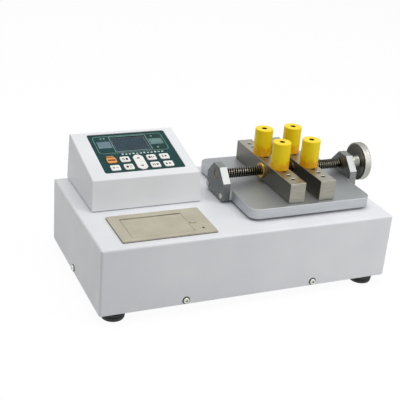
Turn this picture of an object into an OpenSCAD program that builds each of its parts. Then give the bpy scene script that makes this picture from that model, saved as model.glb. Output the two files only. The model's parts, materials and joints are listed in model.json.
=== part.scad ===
// Bench torque tester for bottle caps: a sheet-metal cabinet with a sloping console, a panel
// printer and a two-jaw clamping table that stands on a torque cell.
// Lengths are in millimetres and angles in degrees. X runs along the front, Y to the back, Z up.

/* [Cabinet] */
// Width of the cabinet, left to right
base_w = 360; // [350:1:420]
// Depth of the cabinet, front to back
base_d = 196; // [192:1:230]
// Height of the cabinet's cover
base_h = 79; // [75:1:100]
// Thickness of the cover's sheet steel
cover_t = 1.6; // [1.2:0.1:2.4]
// Outside radius of the cover's bends
cover_r = 2.6; // [2.6:0.1:5]
// Thickness of the bottom plate
chassis_t = 2; // [1.5:0.1:3]
// Height of the bottom plate's upturned edges
flange_h = 14; // [12:0.5:20]
// Height of the bottom plate above the cover's lower edge
chassis_lift = 1; // [0.5:0.1:2]

/* [Feet and cabinet screws] */
// Diameter of a rubber foot where it meets the bottom plate
foot_d = 30; // [22:1:30]
// Diameter of a rubber foot where it meets the table
foot_low_d = 26; // [18:1:28]
// Height of a rubber foot
foot_h = 14; // [9:0.5:20]
// Distance of the feet from the cabinet's left and right sides
foot_inset_x = 21; // [18:1:40]
// Distance of the feet from the cabinet's front and back
foot_inset_y = 18; // [18:1:40]
// Thread diameter of the foot screws
foot_screw_d = 5; // [4:0.5:6]
// Thread diameter of the cover and console screws
cover_screw_d = 4; // [3:0.5:5]
// Head diameter of the cover and console screws, with their collar
cover_head_d = 9; // [6.5:0.5:9.5]
// Height of the cover screws above the cover's lower edge
cover_screw_z = 5; // [5:0.5:8]
// Distance of the front and back cover screws from the cabinet's sides
cover_screw_x = 100; // [80:1:120]
// Distance of the side cover screws from the cabinet's front
side_screw_y = 103; // [80:1:120]

/* [Console] */
// Width of the console's sloping face
console_w = 130; // [124:1:150]
// Depth of the console at its foot
console_d = 104; // [101:1:110]
// Height of the console's front edge above its foot
console_front_h = 35.3; // [32:0.1:45]
// Slope of the console's face
console_slope = 11.6; // [8:0.1:16]
// Backward lean of the console's front, at its upper edge
console_lean = 5.3; // [3:0.1:7]
// Draft angle of the console's sides
console_draft = 2; // [0.5:0.1:3]
// Wall thickness of the console
console_t = 3; // [2.5:0.1:4]
// Radius of the console's upper edges
console_edge_r = 1.6; // [0.8:0.1:2.4]
// Distance of the sloping face from the cabinet's left side
console_x = 18.5; // [16:0.5:30]
// Distance of the console from the cabinet's back
console_back = 0.3; // [0:0.1:3]
// Thickness of the gasket under the console
gasket_t = 1; // [0.8:0.1:2]

/* [Keypad] */
// Distance of the keypad from the left edge of the sloping face
keypad_x = 18.5; // [8:0.5:20]
// Width of the keypad's recess
keypad_w = 98.5; // [97:0.5:100]
// Distance of the keypad from the front edge of the sloping face
keypad_front = 12; // [11:0.5:13]
// Distance of the keypad from the back edge of the sloping face
keypad_back = 6.3; // [5.5:0.1:7]
// Depth of the keypad's recess
recess_depth = 1.5; // [1.2:0.1:1.8]
// Thickness of the keypad's printed overlay
overlay_t = 0.8; // [0.5:0.1:1]
// Width of a square key
key_w = 11.5; // [9:0.1:12.5]
// Depth of a square key
key_d = 10.8; // [9:0.1:12.5]
// Distance between neighbouring key columns
key_pitch_x = 16.3; // [15.5:0.1:17]
// Distance between the two key rows
key_pitch_y = 15.7; // [14.5:0.1:16.5]
// Height of a key above the overlay
key_proud = 0.9; // [0.4:0.1:1.5]
// Travel of a key when it is pressed
key_travel = 0.5; // [0.2:0.05:0.6]
// Width of the arrow key
arrow_w = 12.5; // [10:0.1:13]
// Length of the arrow key
arrow_l = 30; // [26:0.5:32]
// Width of the display window
lcd_w = 42.8; // [38:0.1:46]
// Height of the display window
lcd_h = 33.9; // [28:0.1:36]

/* [Printer] */
// Width of the printer's bezel
printer_w = 110; // [108:1:114]
// Depth of the printer's bezel
printer_d = 63; // [62:1:66]
// Distance of the bezel from the cabinet's left side
printer_x = 27.2; // [20:0.2:34]
// Distance of the bezel from the cabinet's front
printer_y = 11; // [8:0.5:14]
// Thickness of the bezel above the cover
bezel_t = 2; // [1.6:0.1:3]
// Depth of the printer below the cover
tub_h = 48; // [44:1:60]
// Width of the printer's door
door_w = 72; // [70:0.5:74]
// Depth of the printer's door
door_d = 44.5; // [44:0.1:45.5]
// Thickness of the printer's door
door_t = 2.4; // [2:0.1:3]
// Width of the paper roll
paper_w = 57.5; // [50:0.5:57.5]
// Diameter of the paper roll
roll_d = 34; // [28:0.5:34]
// Diameter of the platen roller
platen_d = 9; // [7:0.5:9]

/* [Torque cell] */
// Distance of the clamp's centre from the cabinet's right side
clamp_inset = 96.8; // [94:0.1:110]
// Distance of the clamp's centre from the cabinet's front
clamp_y = 103.1; // [98:0.1:106]
// Gap between the cover and the clamp plate
plate_gap = 3; // [2:0.1:6]
// Height of the torque cell
cell_h = 46; // [38:1:50]
// Diameter of the torque cell's lower flange
cell_low_d = 60; // [56:1:64]
// Diameter of the torque cell's upper flange
cell_up_d = 52; // [48:1:56]
// Thickness of the torque cell's flanges
cell_flange_t = 8; // [6:0.5:9]
// Diameter of the pedestal's foot flange
pedestal_foot_d = 96; // [92:1:100]

/* [Clamp] */
// Width of the clamp plate, without its end tabs
plate_w = 158.5; // [150:0.5:170]
// Depth of the clamp plate
plate_d = 158; // [150:0.5:170]
// Thickness of the clamp plate
plate_t = 12.2; // [10:0.1:14]
// Corner radius of the clamp plate
plate_r = 12; // [4:0.5:20]
// Length of the end tabs that carry the supports
tab_l = 2.5; // [2:0.1:6]
// Thickness of a support
support_t = 9.5; // [7.5:0.1:12]
// Width of a support
support_w = 46.7; // [44:0.1:52]
// Height of a support
support_h = 37.1; // [36.5:0.1:42]
// Height of a support's shoulders
support_shoulder = 21.5; // [18:0.1:24]
// Width of a support's top
support_top_w = 17.3; // [15:0.1:24]
// Height of the lead screw's axis above the clamp plate's underside
screw_axis_h = 25; // [24:0.1:27]
// Thread diameter of the lead screw
screw_d = 12; // [10:0.5:13]
// Diameter of the lead screw's journals
journal_d = 8; // [6:0.5:9]
// Diameter of the handwheel
wheel_d = 48; // [36:1:56]
// Thickness of the handwheel's rim
wheel_t = 9; // [7:0.5:12]
// Length of the handwheel's hub
hub_l = 11; // [11:0.1:20]

/* [Jaws and posts] */
// Width of a jaw
jaw_w = 20; // [18:0.1:22]
// Length of a jaw
jaw_l = 145.5; // [140:0.5:156]
// Height of the jaws' tops above the clamp plate's underside
jaw_top_h = 36.5; // [35.5:0.1:40]
// Distance of a jaw's middle from the clamp's centre
jaw_offset = 19.8; // [14:0.1:30]
// Distance between neighbouring post holes
hole_pitch = 11.75; // [11.5:0.05:12.5]
// Number of post holes on each side of a jaw's middle
holes_per_side = 5; // [3:1:5]
// Hole in which each post stands, counted from the jaw's middle
post_hole = 2; // [2:1:3]
// Diameter of a post hole
post_hole_d = 5; // [4:0.1:6]
// Diameter of a post's sleeve
sleeve_d = 22; // [16:0.5:23]
// Height of a post's sleeve
sleeve_h = 33; // [25:0.5:50]

/* [Rear fittings] */
// Height of the rear fittings above the cover's lower edge
rear_z = 42; // [36:1:50]
// Distance of the power switch from the cabinet's left side
switch_x = 60; // [50:1:70]
// Distance of the power socket from the cabinet's left side
power_x = 92; // [86:1:100]
// Distance of the data socket from the cabinet's left side
data_x = 132; // [126:1:150]

/* [Hidden] */
$fn = 64;

// Overrun of every cut past the face it starts from
over = 1;
// Radial play of a shaft that turns or slides in its bore
run_fit = 0.05;
// Radial play of a pin, thread or bush that is fixed in its bore
hold_fit = 0.02;
// Play round a part that drops into a pocket or cut-out
drop_fit = 0.3;
// Steps in each rounded corner of an outline
corner_steps = 6;

// Cabinet
shell_gap = 0.3;
chassis_low = cover_t + shell_gap;
chassis_top = chassis_lift + chassis_t;
corner_notch = 5;
cover_screw_l = 8;
cover_head_h = 2.4;
foot_recess_d = 13;
foot_recess_h = 5;
foot_head_d = 9.5;
foot_head_h = 3;
foot_stud_d = 9;
foot_stud_h = 5;

// Console
console_y = base_d - console_back - console_d;
console_z = base_h + gasket_t;
face_l = (console_d - console_lean) / cos(console_slope);
console_reach = console_front_h;
console_depth = console_front_h + console_d;
edge_lift = 0.02;
boss_inset = 7;
boss_r = 5;
boss_h = 14;
gasket_inset = 1.5;
gasket_back_inset = 3;
gasket_w = 10;
wire_hole_w = 60;
wire_hole_d = 40;

// Keypad, measured on the sloping face from the overlay's front left corner
keypad_l = face_l - keypad_front - keypad_back;
keypad_r = 3;
ledge = 3.5;
board_t = 1.6;
board_margin = 3;
keys_x = 47.8;
keys_y = 18;
key_r = 2;
key_gap = 0.3;
dome_gap = 0.2;
key_low = -console_t + key_travel + dome_gap;
key_high = -recess_depth + overlay_t + key_proud;
arrow_r = 4;
fulcrum_r = 0.5;
lcd_x = 27.5;
lcd_y = 40.5;
lcd_r = 1;
lens_t = 0.7;
lens_fit = 0.15;
lens_seat = 1.2;
module_t = 1.6;
module_margin = 4;
module_drop = 0.1;

// Electronics inside the cabinet
main_x = 22;
main_w = 104;
main_d = 72;
main_back = 24;
main_y = base_d - main_back - main_d;
main_stud_d = 6;
main_stud_h = 8;
main_stud_inset = 5;
chip_w = 18;
chip_d = 12;
chip_h = 3;
chip_y = 24;
chip_count = 3;
cap_d = 10;
cap_h = 14;
cap_y = 54;
cap_count = 4;
battery_x = 140;
battery_y = 14;
cell_d = 14.5;
cell_l = 50;
cell_count = 5;
battery_web_share = 0.6;

// Rear fittings
switch_w = 21;
switch_h = 25;
switch_flange_t = 2;
switch_body_w = 18.6;
switch_body_h = 22.6;
switch_body_l = 14;
rocker_w = 12;
rocker_r = 8;
rocker_gap = 0.35;
rocker_pivot = 1.5;
rocker_high = 2.6;
rocker_mid = 0.8;
rocker_deep = 6;
rocker_pin_r = 1;
rocker_pin_l = 1.2;
rocker_well = 9;
rocker_tilt = 8;
power_flange_d = 12;
power_flange_t = 2;
power_barrel_d = 8;
power_barrel_l = 6;
power_body = 11;
power_body_l = 9;
power_bore_d = 5.5;
power_bore_l = 9;
power_pin_d = 2;
data_flange_w = 31;
data_flange_h = 12.6;
data_flange_r = 1.5;
data_flange_t = 1;
data_shell_w = 17;
data_shell_h = 8.4;
data_shell_l = 5.8;
data_shell_r = 2;
data_taper = 1.2;
data_body_l = 9;
data_hole_d = 1.2;
data_hole_l = 4;
data_row_holes = 5;
data_hole_pitch = 2.77;
data_row_pitch = 2.84;
data_screw_pitch = 25;
data_nut_d = 5.5;
data_nut_l = 5;
data_thread_d = 2.8;
data_thread_l = 5;

// Printer, measured from the bezel's front left corner at the cover's top
tub_x = 3.5;
tub_y = 3;
tub_w = printer_w - 2 * tub_x;
tub_d = printer_d - 2 * tub_y;
tub_t = 2;
bezel_r = 1.5;
deck_t = 4;
cutout_gap = 0.3;
door_x = 12.8;
door_y = 6.5;
door_gap = 0.3;
door_seat = 0.3;
slot_w = 2.5;
barrel_r = 1.9;
pin_r = 1;
pin_grip = 4;
hinge_y = door_y + barrel_r;
hinge_z = bezel_t - barrel_r;
bay_mid = door_x + door_w / 2;
roll_gap = 0.4;
roll_y = hinge_y + roll_d / 2 - roll_gap;
roll_top = 3.5;
roll_z = -roll_top - roll_d / 2;
core_d = 12;
platen_back = 3.5;
platen_y = door_y + door_d - platen_back;
platen_z = -platen_d / 2 - roll_gap - door_t + bezel_t;
platen_shaft_r = 1.5;
cheek_t = 2;
cheek_r = 3;
bay_side_gap = 0.5;
platen_side_gap = 0.4;
platen_bay_h = 14;
head_gap = 0.7;
head_h = 10;
button_x = 90.5;
button_y = 27.5;
button_w = 7;
button_d = 5;
button_r = 1;
button_proud = 0.6;
light_x = 97;
light_y = 11.7;
light_d = 3;
light_proud = 0.5;
light_l = 6;
small_fit = 0.2;

// Torque cell
clamp_x = base_w - clamp_inset;
cell_top = base_h + plate_gap;
cell_low = cell_top - cell_h;
cell_hole_gap = 2;
cross_l = 24;
cross_t = 7;
pedestal_lip = 2;
pedestal_d = cell_low_d + 2 * pedestal_lip;
cap_screw_d = 5;
cap_head_d = 8.5;
cap_head_h = 5;
cap_screw_l = 12;
cap_hex = 4;
cap_hex_h = 2.5;
cell_screw_r = 22;
foot_circle_inset = 8;
plate_screw_r = 19;
sink_d = 10;
sink_h = 2.8;
plate_screw_l = 16;

// Clamp, measured from its centre and from the clamp plate's underside
support_in = plate_w / 2 + tab_l;
support_out = support_in + support_t;
support_screw_y = 19;
support_screw_z = 5.2;
support_screw_d = 4;
support_head_d = 7;
support_head_h = 4;
support_head_proud = 1.2;
support_screw_l = 14;
support_hex = 3;
support_hex_h = 2;
bush_wall = 2;
bush_d = journal_d + 2 * bush_wall;
bush_lip = 1.75;
bush_flange_d = bush_d + 2 * bush_lip;
bush_flange_t = 1.5;
bush_back = 0.5;
end_float = 0.15;
screw_shoulder = support_in - bush_flange_t - end_float;
journal_back = 0.5;
wheel_in = support_out + drop_fit;
wheel_face = wheel_in + hub_l;
wheel_out = wheel_face + wheel_t;
hub_wall = 3;
hub_d = journal_d + 2 * hub_wall;
wheel_edge = 1;
dish_foot = 2;
dish_in_d = hub_d + 2 * dish_foot;
rim_w = 4;
dish_out_d = wheel_d - 2 * rim_w;
dish_h = 2;
wheel_crown = 1;
set_screw_d = 3;
set_screw_share = 0.45;

// Jaws and posts
jaw_gap = 0.3;
jaw_low_h = plate_t + jaw_gap;
jaw_edge = 0.6;
nut_wall = 2;
nut_d = screw_d + 2 * nut_wall;
nut_lip = 1.5;
nut_flange_d = nut_d + 2 * nut_lip;
nut_flange_t = 3;
post_hole_l = 15;
post_hole_rim = 0.7;
post_pin_l = 14;
post_pin_d = 6.8;
post_pin_top = 5;
post_y = post_hole * hole_pitch;
sleeve_edge_r = 0.8;

// Place of the model: the middle of its outline, on the table
low_x = -cover_head_h;
high_x = clamp_x + wheel_out;
low_y = -cover_head_h;
high_y = base_d + data_flange_t + data_shell_l;
rest_z = foot_h - chassis_lift;
middle = [(low_x + high_x) / 2, (low_y + high_y) / 2, -rest_z];

// Moves a piece from the cabinet's corner to the model's origin
module placed() {
    translate(-middle) children();
}

// Moves a piece to the centre of the clamp, level with the clamp plate's underside
module at_clamp() {
    translate([clamp_x, clamp_y, cell_top]) children();
}

// Moves a piece to the left front corner of the console's foot
module at_console() {
    translate([console_x, console_y, console_z]) children();
}

// Moves a piece to the front left corner of the keypad, on the sloping face
module on_keypad() {
    at_console()
        translate([0, console_lean, console_front_h])
            rotate([console_slope, 0, 0])
                translate([keypad_x, keypad_front, 0])
                    children();
}

// Moves a piece to the front left corner of the printer's bezel, on the cover
module at_printer() {
    translate([printer_x, printer_y, base_h]) children();
}

// Moves a piece to a fitting on the back wall, seen along the wall's outward direction
module at_rear(x) {
    translate([x, base_d, rear_z]) children();
}

// A rod along X
module rod_x(r, l) {
    rotate([0, 90, 0]) cylinder(r = r, h = l);
}

// A rod along Y
module rod_y(r, l) {
    rotate([-90, 0, 0]) cylinder(r = r, h = l);
}

// A profile of points [y, z] carried along X
module along_x(l) {
    rotate([90, 0, 90]) linear_extrude(l) children();
}

// A profile of points [x, z] carried along Y
module along_y(l) {
    translate([0, l, 0]) rotate([90, 0, 0]) linear_extrude(l) children();
}

// A rectangle with round corners, from its lower left corner
module round_rect(w, d, r) {
    translate([r, 0]) square([w - 2 * r, d]);
    translate([0, r]) square([w, d - 2 * r]);
    for (x = [r, w - r], y = [r, d - r]) translate([x, y]) circle(r);
}

// A round-cornered plate, from its lower left corner up
module round_plate(w, d, h, r) {
    linear_extrude(h) round_rect(w, d, r);
}

// Unit vector along v
function unit(v) = v / norm(v);

// Angle of the vector v
function bearing(v) = atan2(v[1], v[0]);

// Outline through the corners [a, b, r], each rounded to its own radius r
function rounded(p) = [
    for (i = [0:len(p) - 1])
        let (
            here = [p[i][0], p[i][1]],
            last = p[(i + len(p) - 1) % len(p)],
            next = p[(i + 1) % len(p)],
            back = unit([last[0], last[1]] - here),
            ahead = unit([next[0], next[1]] - here),
            half = acos(back * ahead) / 2,
            r = p[i][2],
            centre = here + unit(back + ahead) * r / sin(half),
            start = bearing(here + back * r / tan(half) - centre),
            end = bearing(here + ahead * r / tan(half) - centre),
            turn = (end - start + 540) % 360 - 180
        )
        for (s = [0:r > 0 ? corner_steps : 0])
            r > 0
                ? centre + r * [cos(start + turn * s / corner_steps), sin(start + turn * s / corner_steps)]
                : here
];

// Places of the four feet
function feet() = [
    for (x = [foot_inset_x, base_w - foot_inset_x], y = [foot_inset_y, base_d - foot_inset_y]) [x, y]
];

// Places and directions of the six cover screws: [x, y, turn about Z]
function cover_screw_places() = [
    [cover_screw_x, 0, 0],
    [base_w - cover_screw_x, 0, 0],
    [cover_screw_x, base_d, 180],
    [base_w - cover_screw_x, base_d, 180],
    [0, side_screw_y, -90],
    [base_w, side_screw_y, 90]
];

// Places of the console's four screws
function console_bosses() = [
    for (x = [boss_inset, console_w - boss_inset], y = [boss_inset, console_d - boss_inset])
        [console_x + x, console_y + y]
];

// Places of the main board's four studs
function main_studs() = [
    for (x = [main_stud_inset, main_w - main_stud_inset], y = [main_stud_inset, main_d - main_stud_inset])
        [main_x + x, main_y + y]
];

// A block with the cabinet's outline, drawn in by t on every side but the lower one
module cover_block(t, low) {
    r = cover_r - t;
    intersection() {
        translate([t, t, low])
            round_plate(base_w - 2 * t, base_d - 2 * t, base_h - t - low, r);
        along_y(base_d)
            translate([t, low - cover_r])
                round_rect(base_w - 2 * t, base_h - t - low + cover_r, r);
        along_x(base_w)
            translate([t, low - cover_r])
                round_rect(base_d - 2 * t, base_h - t - low + cover_r, r);
    }
}

// Folded sheet cover with its cut-outs
module base_cover() {
    color("white") placed() difference() {
        cover_block(0, 0);
        cover_block(cover_t, -over);
        for (p = cover_screw_places())
            translate([p[0], p[1], cover_screw_z]) rotate([0, 0, p[2]])
                translate([0, -over, 0])
                    rod_y(cover_screw_d / 2 + small_fit, cover_t + 2 * over);
        for (p = console_bosses())
            translate([p[0], p[1], base_h - cover_t - over])
                cylinder(d = cover_screw_d + 2 * small_fit, h = cover_t + 2 * over);
        translate([console_x + (console_w - wire_hole_w) / 2, console_y + (console_d - wire_hole_d) / 2,
            base_h - cover_t - over])
            round_plate(wire_hole_w, wire_hole_d, cover_t + 2 * over, boss_r);
        at_printer()
            translate([tub_x - cutout_gap, tub_y - cutout_gap, -cover_t - over])
                cube([tub_w + 2 * cutout_gap, tub_d + 2 * cutout_gap, cover_t + 2 * over]);
        translate([clamp_x, clamp_y, base_h - cover_t - over])
            cylinder(d = cell_up_d + 2 * cell_hole_gap, h = cover_t + 2 * over);
        at_rear(switch_x)
            translate([-switch_body_w / 2 - small_fit, -cover_t - over, -switch_body_h / 2 - small_fit])
                cube([switch_body_w + 2 * small_fit, cover_t + 2 * over, switch_body_h + 2 * small_fit]);
        at_rear(power_x)
            translate([0, -cover_t - over, 0])
                rod_y(power_barrel_d / 2 + small_fit, cover_t + 2 * over);
        at_rear(data_x)
            translate([0, -cover_t - over, 0])
                along_y(cover_t + 2 * over) data_outline(small_fit);
        for (side = [-1, 1])
            at_rear(data_x + side * data_screw_pitch / 2)
                translate([0, -cover_t - over, 0])
                    rod_y(data_thread_d / 2 + small_fit, cover_t + 2 * over);
    }
}

// Bottom plate with upturned edges, pressed-in studs and foot nuts
module chassis_plate() {
    w = base_w - 2 * chassis_low;
    d = base_d - 2 * chassis_low;
    color("gainsboro") placed() difference() {
        union() {
            difference() {
                translate([chassis_low, chassis_low, chassis_lift]) cube([w, d, flange_h]);
                translate([chassis_low + chassis_t, chassis_low + chassis_t, chassis_top])
                    cube([w - 2 * chassis_t, d - 2 * chassis_t, flange_h]);
                for (x = [chassis_low - over, base_w - chassis_low - corner_notch],
                    y = [chassis_low - over, base_d - chassis_low - corner_notch])
                    translate([x, y, chassis_top])
                        cube([corner_notch + over, corner_notch + over, flange_h]);
            }
            for (p = feet())
                translate([p[0], p[1], chassis_lift])
                    cylinder(d = foot_stud_d, h = chassis_t + foot_stud_h);
            for (p = main_studs())
                translate([p[0], p[1], chassis_lift])
                    cylinder(d = main_stud_d, h = chassis_t + main_stud_h);
        }
        for (p = feet())
            translate([p[0], p[1], chassis_lift - over])
                cylinder(d = foot_screw_d + 2 * hold_fit, h = chassis_t + foot_stud_h + 2 * over);
        for (p = cover_screw_places())
            translate([p[0], p[1], cover_screw_z]) rotate([0, 0, p[2]])
                translate([0, chassis_low - over, 0])
                    rod_y(cover_screw_d / 2 + hold_fit, chassis_t + 2 * over);
        for (p = cap_places(pedestal_foot_d / 2 - foot_circle_inset))
            translate([clamp_x + p[0], clamp_y + p[1], chassis_lift - over])
                cylinder(d = cap_screw_d + 2 * hold_fit, h = chassis_t + 2 * over);
    }
}

// Rounded screw head on the plane z = 0, rising to h
module pan_head(d, h) {
    dome_r = (d * d / 4 + h * h) / (2 * h);
    intersection() {
        translate([0, 0, h - dome_r]) sphere(r = dome_r);
        cylinder(d = d, h = h);
    }
}

// Pan head screw with its head at +Z and its shank down
module pan_screw(d, l, head_d, head_h) {
    pan_head(head_d, head_h);
    translate([0, 0, -l]) cylinder(d = d, h = l + head_h / 2);
}

// Ten equal screws: six hold the cover to the bottom plate, four hold the console from inside
module housing_screws() {
    color("silver") placed() {
        for (p = cover_screw_places())
            translate([p[0], p[1], cover_screw_z]) rotate([0, 0, p[2]])
                rotate([90, 0, 0])
                    pan_screw(cover_screw_d, cover_screw_l, cover_head_d, cover_head_h);
        for (p = console_bosses())
            translate([p[0], p[1], base_h - cover_t]) rotate([180, 0, 0])
                pan_screw(cover_screw_d, cover_screw_l, cover_head_d, cover_head_h);
    }
}

// Four rubber feet with a recess for their screws
module rubber_feet() {
    bore = foot_screw_d / 2 + small_fit;
    color("black") placed()
        for (p = feet())
            translate([p[0], p[1], -rest_z])
                rotate_extrude()
                    polygon([
                        [foot_recess_d / 2, 0],
                        [foot_low_d / 2, 0],
                        [foot_d / 2, foot_h],
                        [bore, foot_h],
                        [bore, foot_recess_h],
                        [foot_recess_d / 2, foot_recess_h]
                    ]);
}

// Four screws that hold the feet
module foot_screws() {
    color("silver") placed()
        for (p = feet())
            translate([p[0], p[1], foot_recess_h - rest_z]) rotate([180, 0, 0])
                pan_screw(foot_screw_d, foot_h - foot_recess_h + chassis_t + foot_stud_h,
                    foot_head_d, foot_head_h);
}

// Height of the sloping face at depth y, drawn in by t
function face_z(y, t) = console_front_h + (y - console_lean) * tan(console_slope) - t / cos(console_slope);

// Solid with the console's outline, drawn in by t on every side but its open foot
module console_form(t, low) {
    r = max(console_edge_r - t, 0);
    draft = tan(console_draft) * console_depth;
    intersection() {
        translate([-console_reach, 0, 0])
            along_x(console_w + 2 * console_reach)
                polygon(rounded([
                    [t, low, 0],
                    [console_d - t, low, 0],
                    [console_d - t, face_z(console_d - t, t), r],
                    [console_lean + t, face_z(console_lean + t, t), r]
                ]));
        translate([0, console_lean, console_front_h]) rotate([console_slope, 0, 0])
            translate([0, -console_reach, 0])
                along_y(face_l + 2 * console_reach)
                    polygon(rounded([
                        [t - draft, -console_depth, 0],
                        [console_w - t + draft, -console_depth, 0],
                        [console_w - t, edge_lift - t, r],
                        [t, edge_lift - t, r]
                    ]));
    }
}

// Console shell with the keypad's recess and the bosses for its screws
module console_housing() {
    color("white") placed() difference() {
        union() {
            at_console() difference() {
                console_form(0, 0);
                console_form(console_t, -over);
            }
            intersection() {
                at_console() console_form(0, 0);
                for (p = console_bosses())
                    translate([p[0], p[1], console_z]) cylinder(r = boss_r, h = boss_h);
            }
        }
        for (p = console_bosses())
            translate([p[0], p[1], console_z - over])
                cylinder(d = cover_screw_d + 2 * hold_fit, h = boss_h);
        on_keypad()
            translate([0, 0, -recess_depth])
                round_plate(keypad_w, keypad_l, recess_depth + over, keypad_r);
        on_keypad()
            translate([ledge, ledge, -console_t - over])
                cube([keypad_w - 2 * ledge, keypad_l - 2 * ledge, console_t + over]);
        on_keypad()
            translate([keys_x, keys_y, -console_t - over])
                linear_extrude(console_t + over) arrow_outline(key_gap);
    }
}

// Foam gasket between the console and the cover
module console_gasket() {
    l = console_d - gasket_inset - gasket_back_inset;
    color("black") placed() difference() {
        translate([console_x, console_y + gasket_inset, base_h]) cube([console_w, l, gasket_t]);
        translate([console_x + gasket_w, console_y + gasket_inset + gasket_w, base_h - over])
            cube([console_w - 2 * gasket_w, l - 2 * gasket_w, gasket_t + 2 * over]);
        for (p = console_bosses())
            translate([p[0], p[1], base_h - over])
                cylinder(d = cover_screw_d + 2 * small_fit, h = gasket_t + 2 * over);
    }
}

// Middle of the key in column c and row r, columns counted from the arrow key
function key_place(c, r) = [keys_x + c * key_pitch_x, keys_y + r * key_pitch_y / 2];

// Columns and rows of the eight square keys
function key_grid() = [for (r = [1, -1], c = [-2, -1, 1, 2]) key_place(c, r)];

// Outline of the square key, grown by g
module key_outline(g) {
    translate([-key_w / 2 - g, -key_d / 2 - g]) round_rect(key_w + 2 * g, key_d + 2 * g, key_r + g);
}

// Outline of the arrow key with its cut corners, grown by g
module arrow_outline(g) {
    w = arrow_w / 2 + g;
    l = arrow_l / 2 + g;
    polygon([
        [-w, -l + arrow_r], [-w + arrow_r, -l], [w - arrow_r, -l], [w, -l + arrow_r],
        [w, l - arrow_r], [w - arrow_r, l], [-w + arrow_r, l], [-w, l - arrow_r]
    ]);
}

// Cut-outs of all keys through a sheet
module key_holes(low, h) {
    for (p = key_grid())
        translate([p[0], p[1], low]) linear_extrude(h) key_outline(key_gap);
    translate([keys_x, keys_y, low]) linear_extrude(h) arrow_outline(key_gap);
}

// Printed overlay of the keypad
module keypad_overlay() {
    color("darkslategray") placed() on_keypad() difference() {
        translate([drop_fit, drop_fit, -recess_depth])
            round_plate(keypad_w - 2 * drop_fit, keypad_l - 2 * drop_fit, overlay_t, keypad_r - drop_fit);
        key_holes(-recess_depth - over, overlay_t + 2 * over);
        translate([lcd_x - lens_fit, lcd_y - lens_fit, -recess_depth - over])
            round_plate(lcd_w + 2 * lens_fit, lcd_h + 2 * lens_fit, overlay_t + 2 * over, lcd_r + lens_fit);
    }
}

// Metal plate behind the overlay
module keypad_backing() {
    color("lightgray") placed() on_keypad() difference() {
        translate([ledge + drop_fit, ledge + drop_fit, -console_t])
            cube([keypad_w - 2 * (ledge + drop_fit), keypad_l - 2 * (ledge + drop_fit), console_t - recess_depth]);
        key_holes(-console_t - over, console_t + over);
        translate([lcd_x + lens_seat, lcd_y + lens_seat, -console_t - over])
            cube([lcd_w - 2 * lens_seat, lcd_h - 2 * lens_seat, console_t + over]);
    }
}

// Circuit board with the key contacts
module key_board() {
    inset = ledge - board_margin;
    cut = lens_seat - drop_fit;
    color("green") placed() on_keypad() difference() {
        translate([inset, inset, -console_t - board_t])
            cube([keypad_w - 2 * inset, keypad_l - 2 * inset, board_t]);
        translate([lcd_x + cut, lcd_y + cut, -console_t - board_t - over])
            cube([lcd_w - 2 * cut, lcd_h - 2 * cut, board_t + 2 * over]);
    }
}

// Clear window over the display
module lcd_window() {
    color("lightblue") placed() on_keypad()
        translate([lcd_x, lcd_y, -recess_depth]) round_plate(lcd_w, lcd_h, lens_t, lcd_r);
}

// Liquid crystal display with its own board behind the key board
module lcd_module() {
    front = lens_seat + drop_fit;
    low = console_t + board_t;
    color("slategray") placed() on_keypad() {
        translate([lcd_x + front, lcd_y + front, -low])
            cube([lcd_w - 2 * front, lcd_h - 2 * front, low - recess_depth - module_drop]);
        translate([lcd_x - module_margin, lcd_y - module_margin, -low - module_t])
            cube([lcd_w + 2 * module_margin, lcd_h + 2 * module_margin, module_t]);
    }
}

// One square key in column c and row r
module square_key(c, r, shade) {
    p = key_place(c, r);
    color(shade) placed() on_keypad()
        translate([p[0], p[1], key_low]) linear_extrude(key_high - key_low) key_outline(0);
}

// Rocking key with an arrow at each end, on a round rib across its middle
module arrow_key() {
    color("ivory") placed() on_keypad()
        translate([keys_x, keys_y, key_low]) {
            linear_extrude(key_high - key_low) arrow_outline(0);
            translate([-arrow_w / 2, 0, 0]) rod_x(fulcrum_r, arrow_w);
        }
}

// Main circuit board on its studs
module main_board() {
    color("green") placed() translate([main_x, main_y, chassis_top + main_stud_h]) {
        cube([main_w, main_d, board_t]);
        for (i = [1:chip_count])
            translate([i * main_w / (chip_count + 1) - chip_w / 2, chip_y, board_t])
                cube([chip_w, chip_d, chip_h]);
        for (i = [1:cap_count])
            translate([i * main_w / (cap_count + 1), cap_y, board_t]) cylinder(d = cap_d, h = cap_h);
    }
}

// Battery pack of round cells side by side
module battery_pack() {
    web = cell_d * battery_web_share;
    color("royalblue") placed()
        translate([battery_x + cell_d / 2, battery_y, chassis_top + cell_d / 2]) {
            for (i = [0:cell_count - 1]) translate([i * cell_d, 0, 0]) rod_y(cell_d / 2, cell_l);
            translate([0, 0, -web / 2]) cube([(cell_count - 1) * cell_d, cell_l, web]);
        }
}

// Frame of the power switch, with the well for its rocker
module switch_frame() {
    well = rocker_r + rocker_gap;
    half = rocker_w / 2 + rocker_gap;
    color("black") placed() at_rear(switch_x) difference() {
        union() {
            translate([-switch_w / 2, 0, -switch_h / 2]) cube([switch_w, switch_flange_t, switch_h]);
            translate([-switch_body_w / 2, -switch_body_l, -switch_body_h / 2])
                cube([switch_body_w, switch_body_l, switch_body_h]);
        }
        translate([-half, switch_flange_t - rocker_well, -well])
            cube([2 * half, rocker_well + over, 2 * well]);
        translate([-half - rocker_pin_l, switch_flange_t - rocker_pivot, 0])
            rod_x(rocker_pin_r + run_fit, 2 * (half + rocker_pin_l));
    }
}

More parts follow.
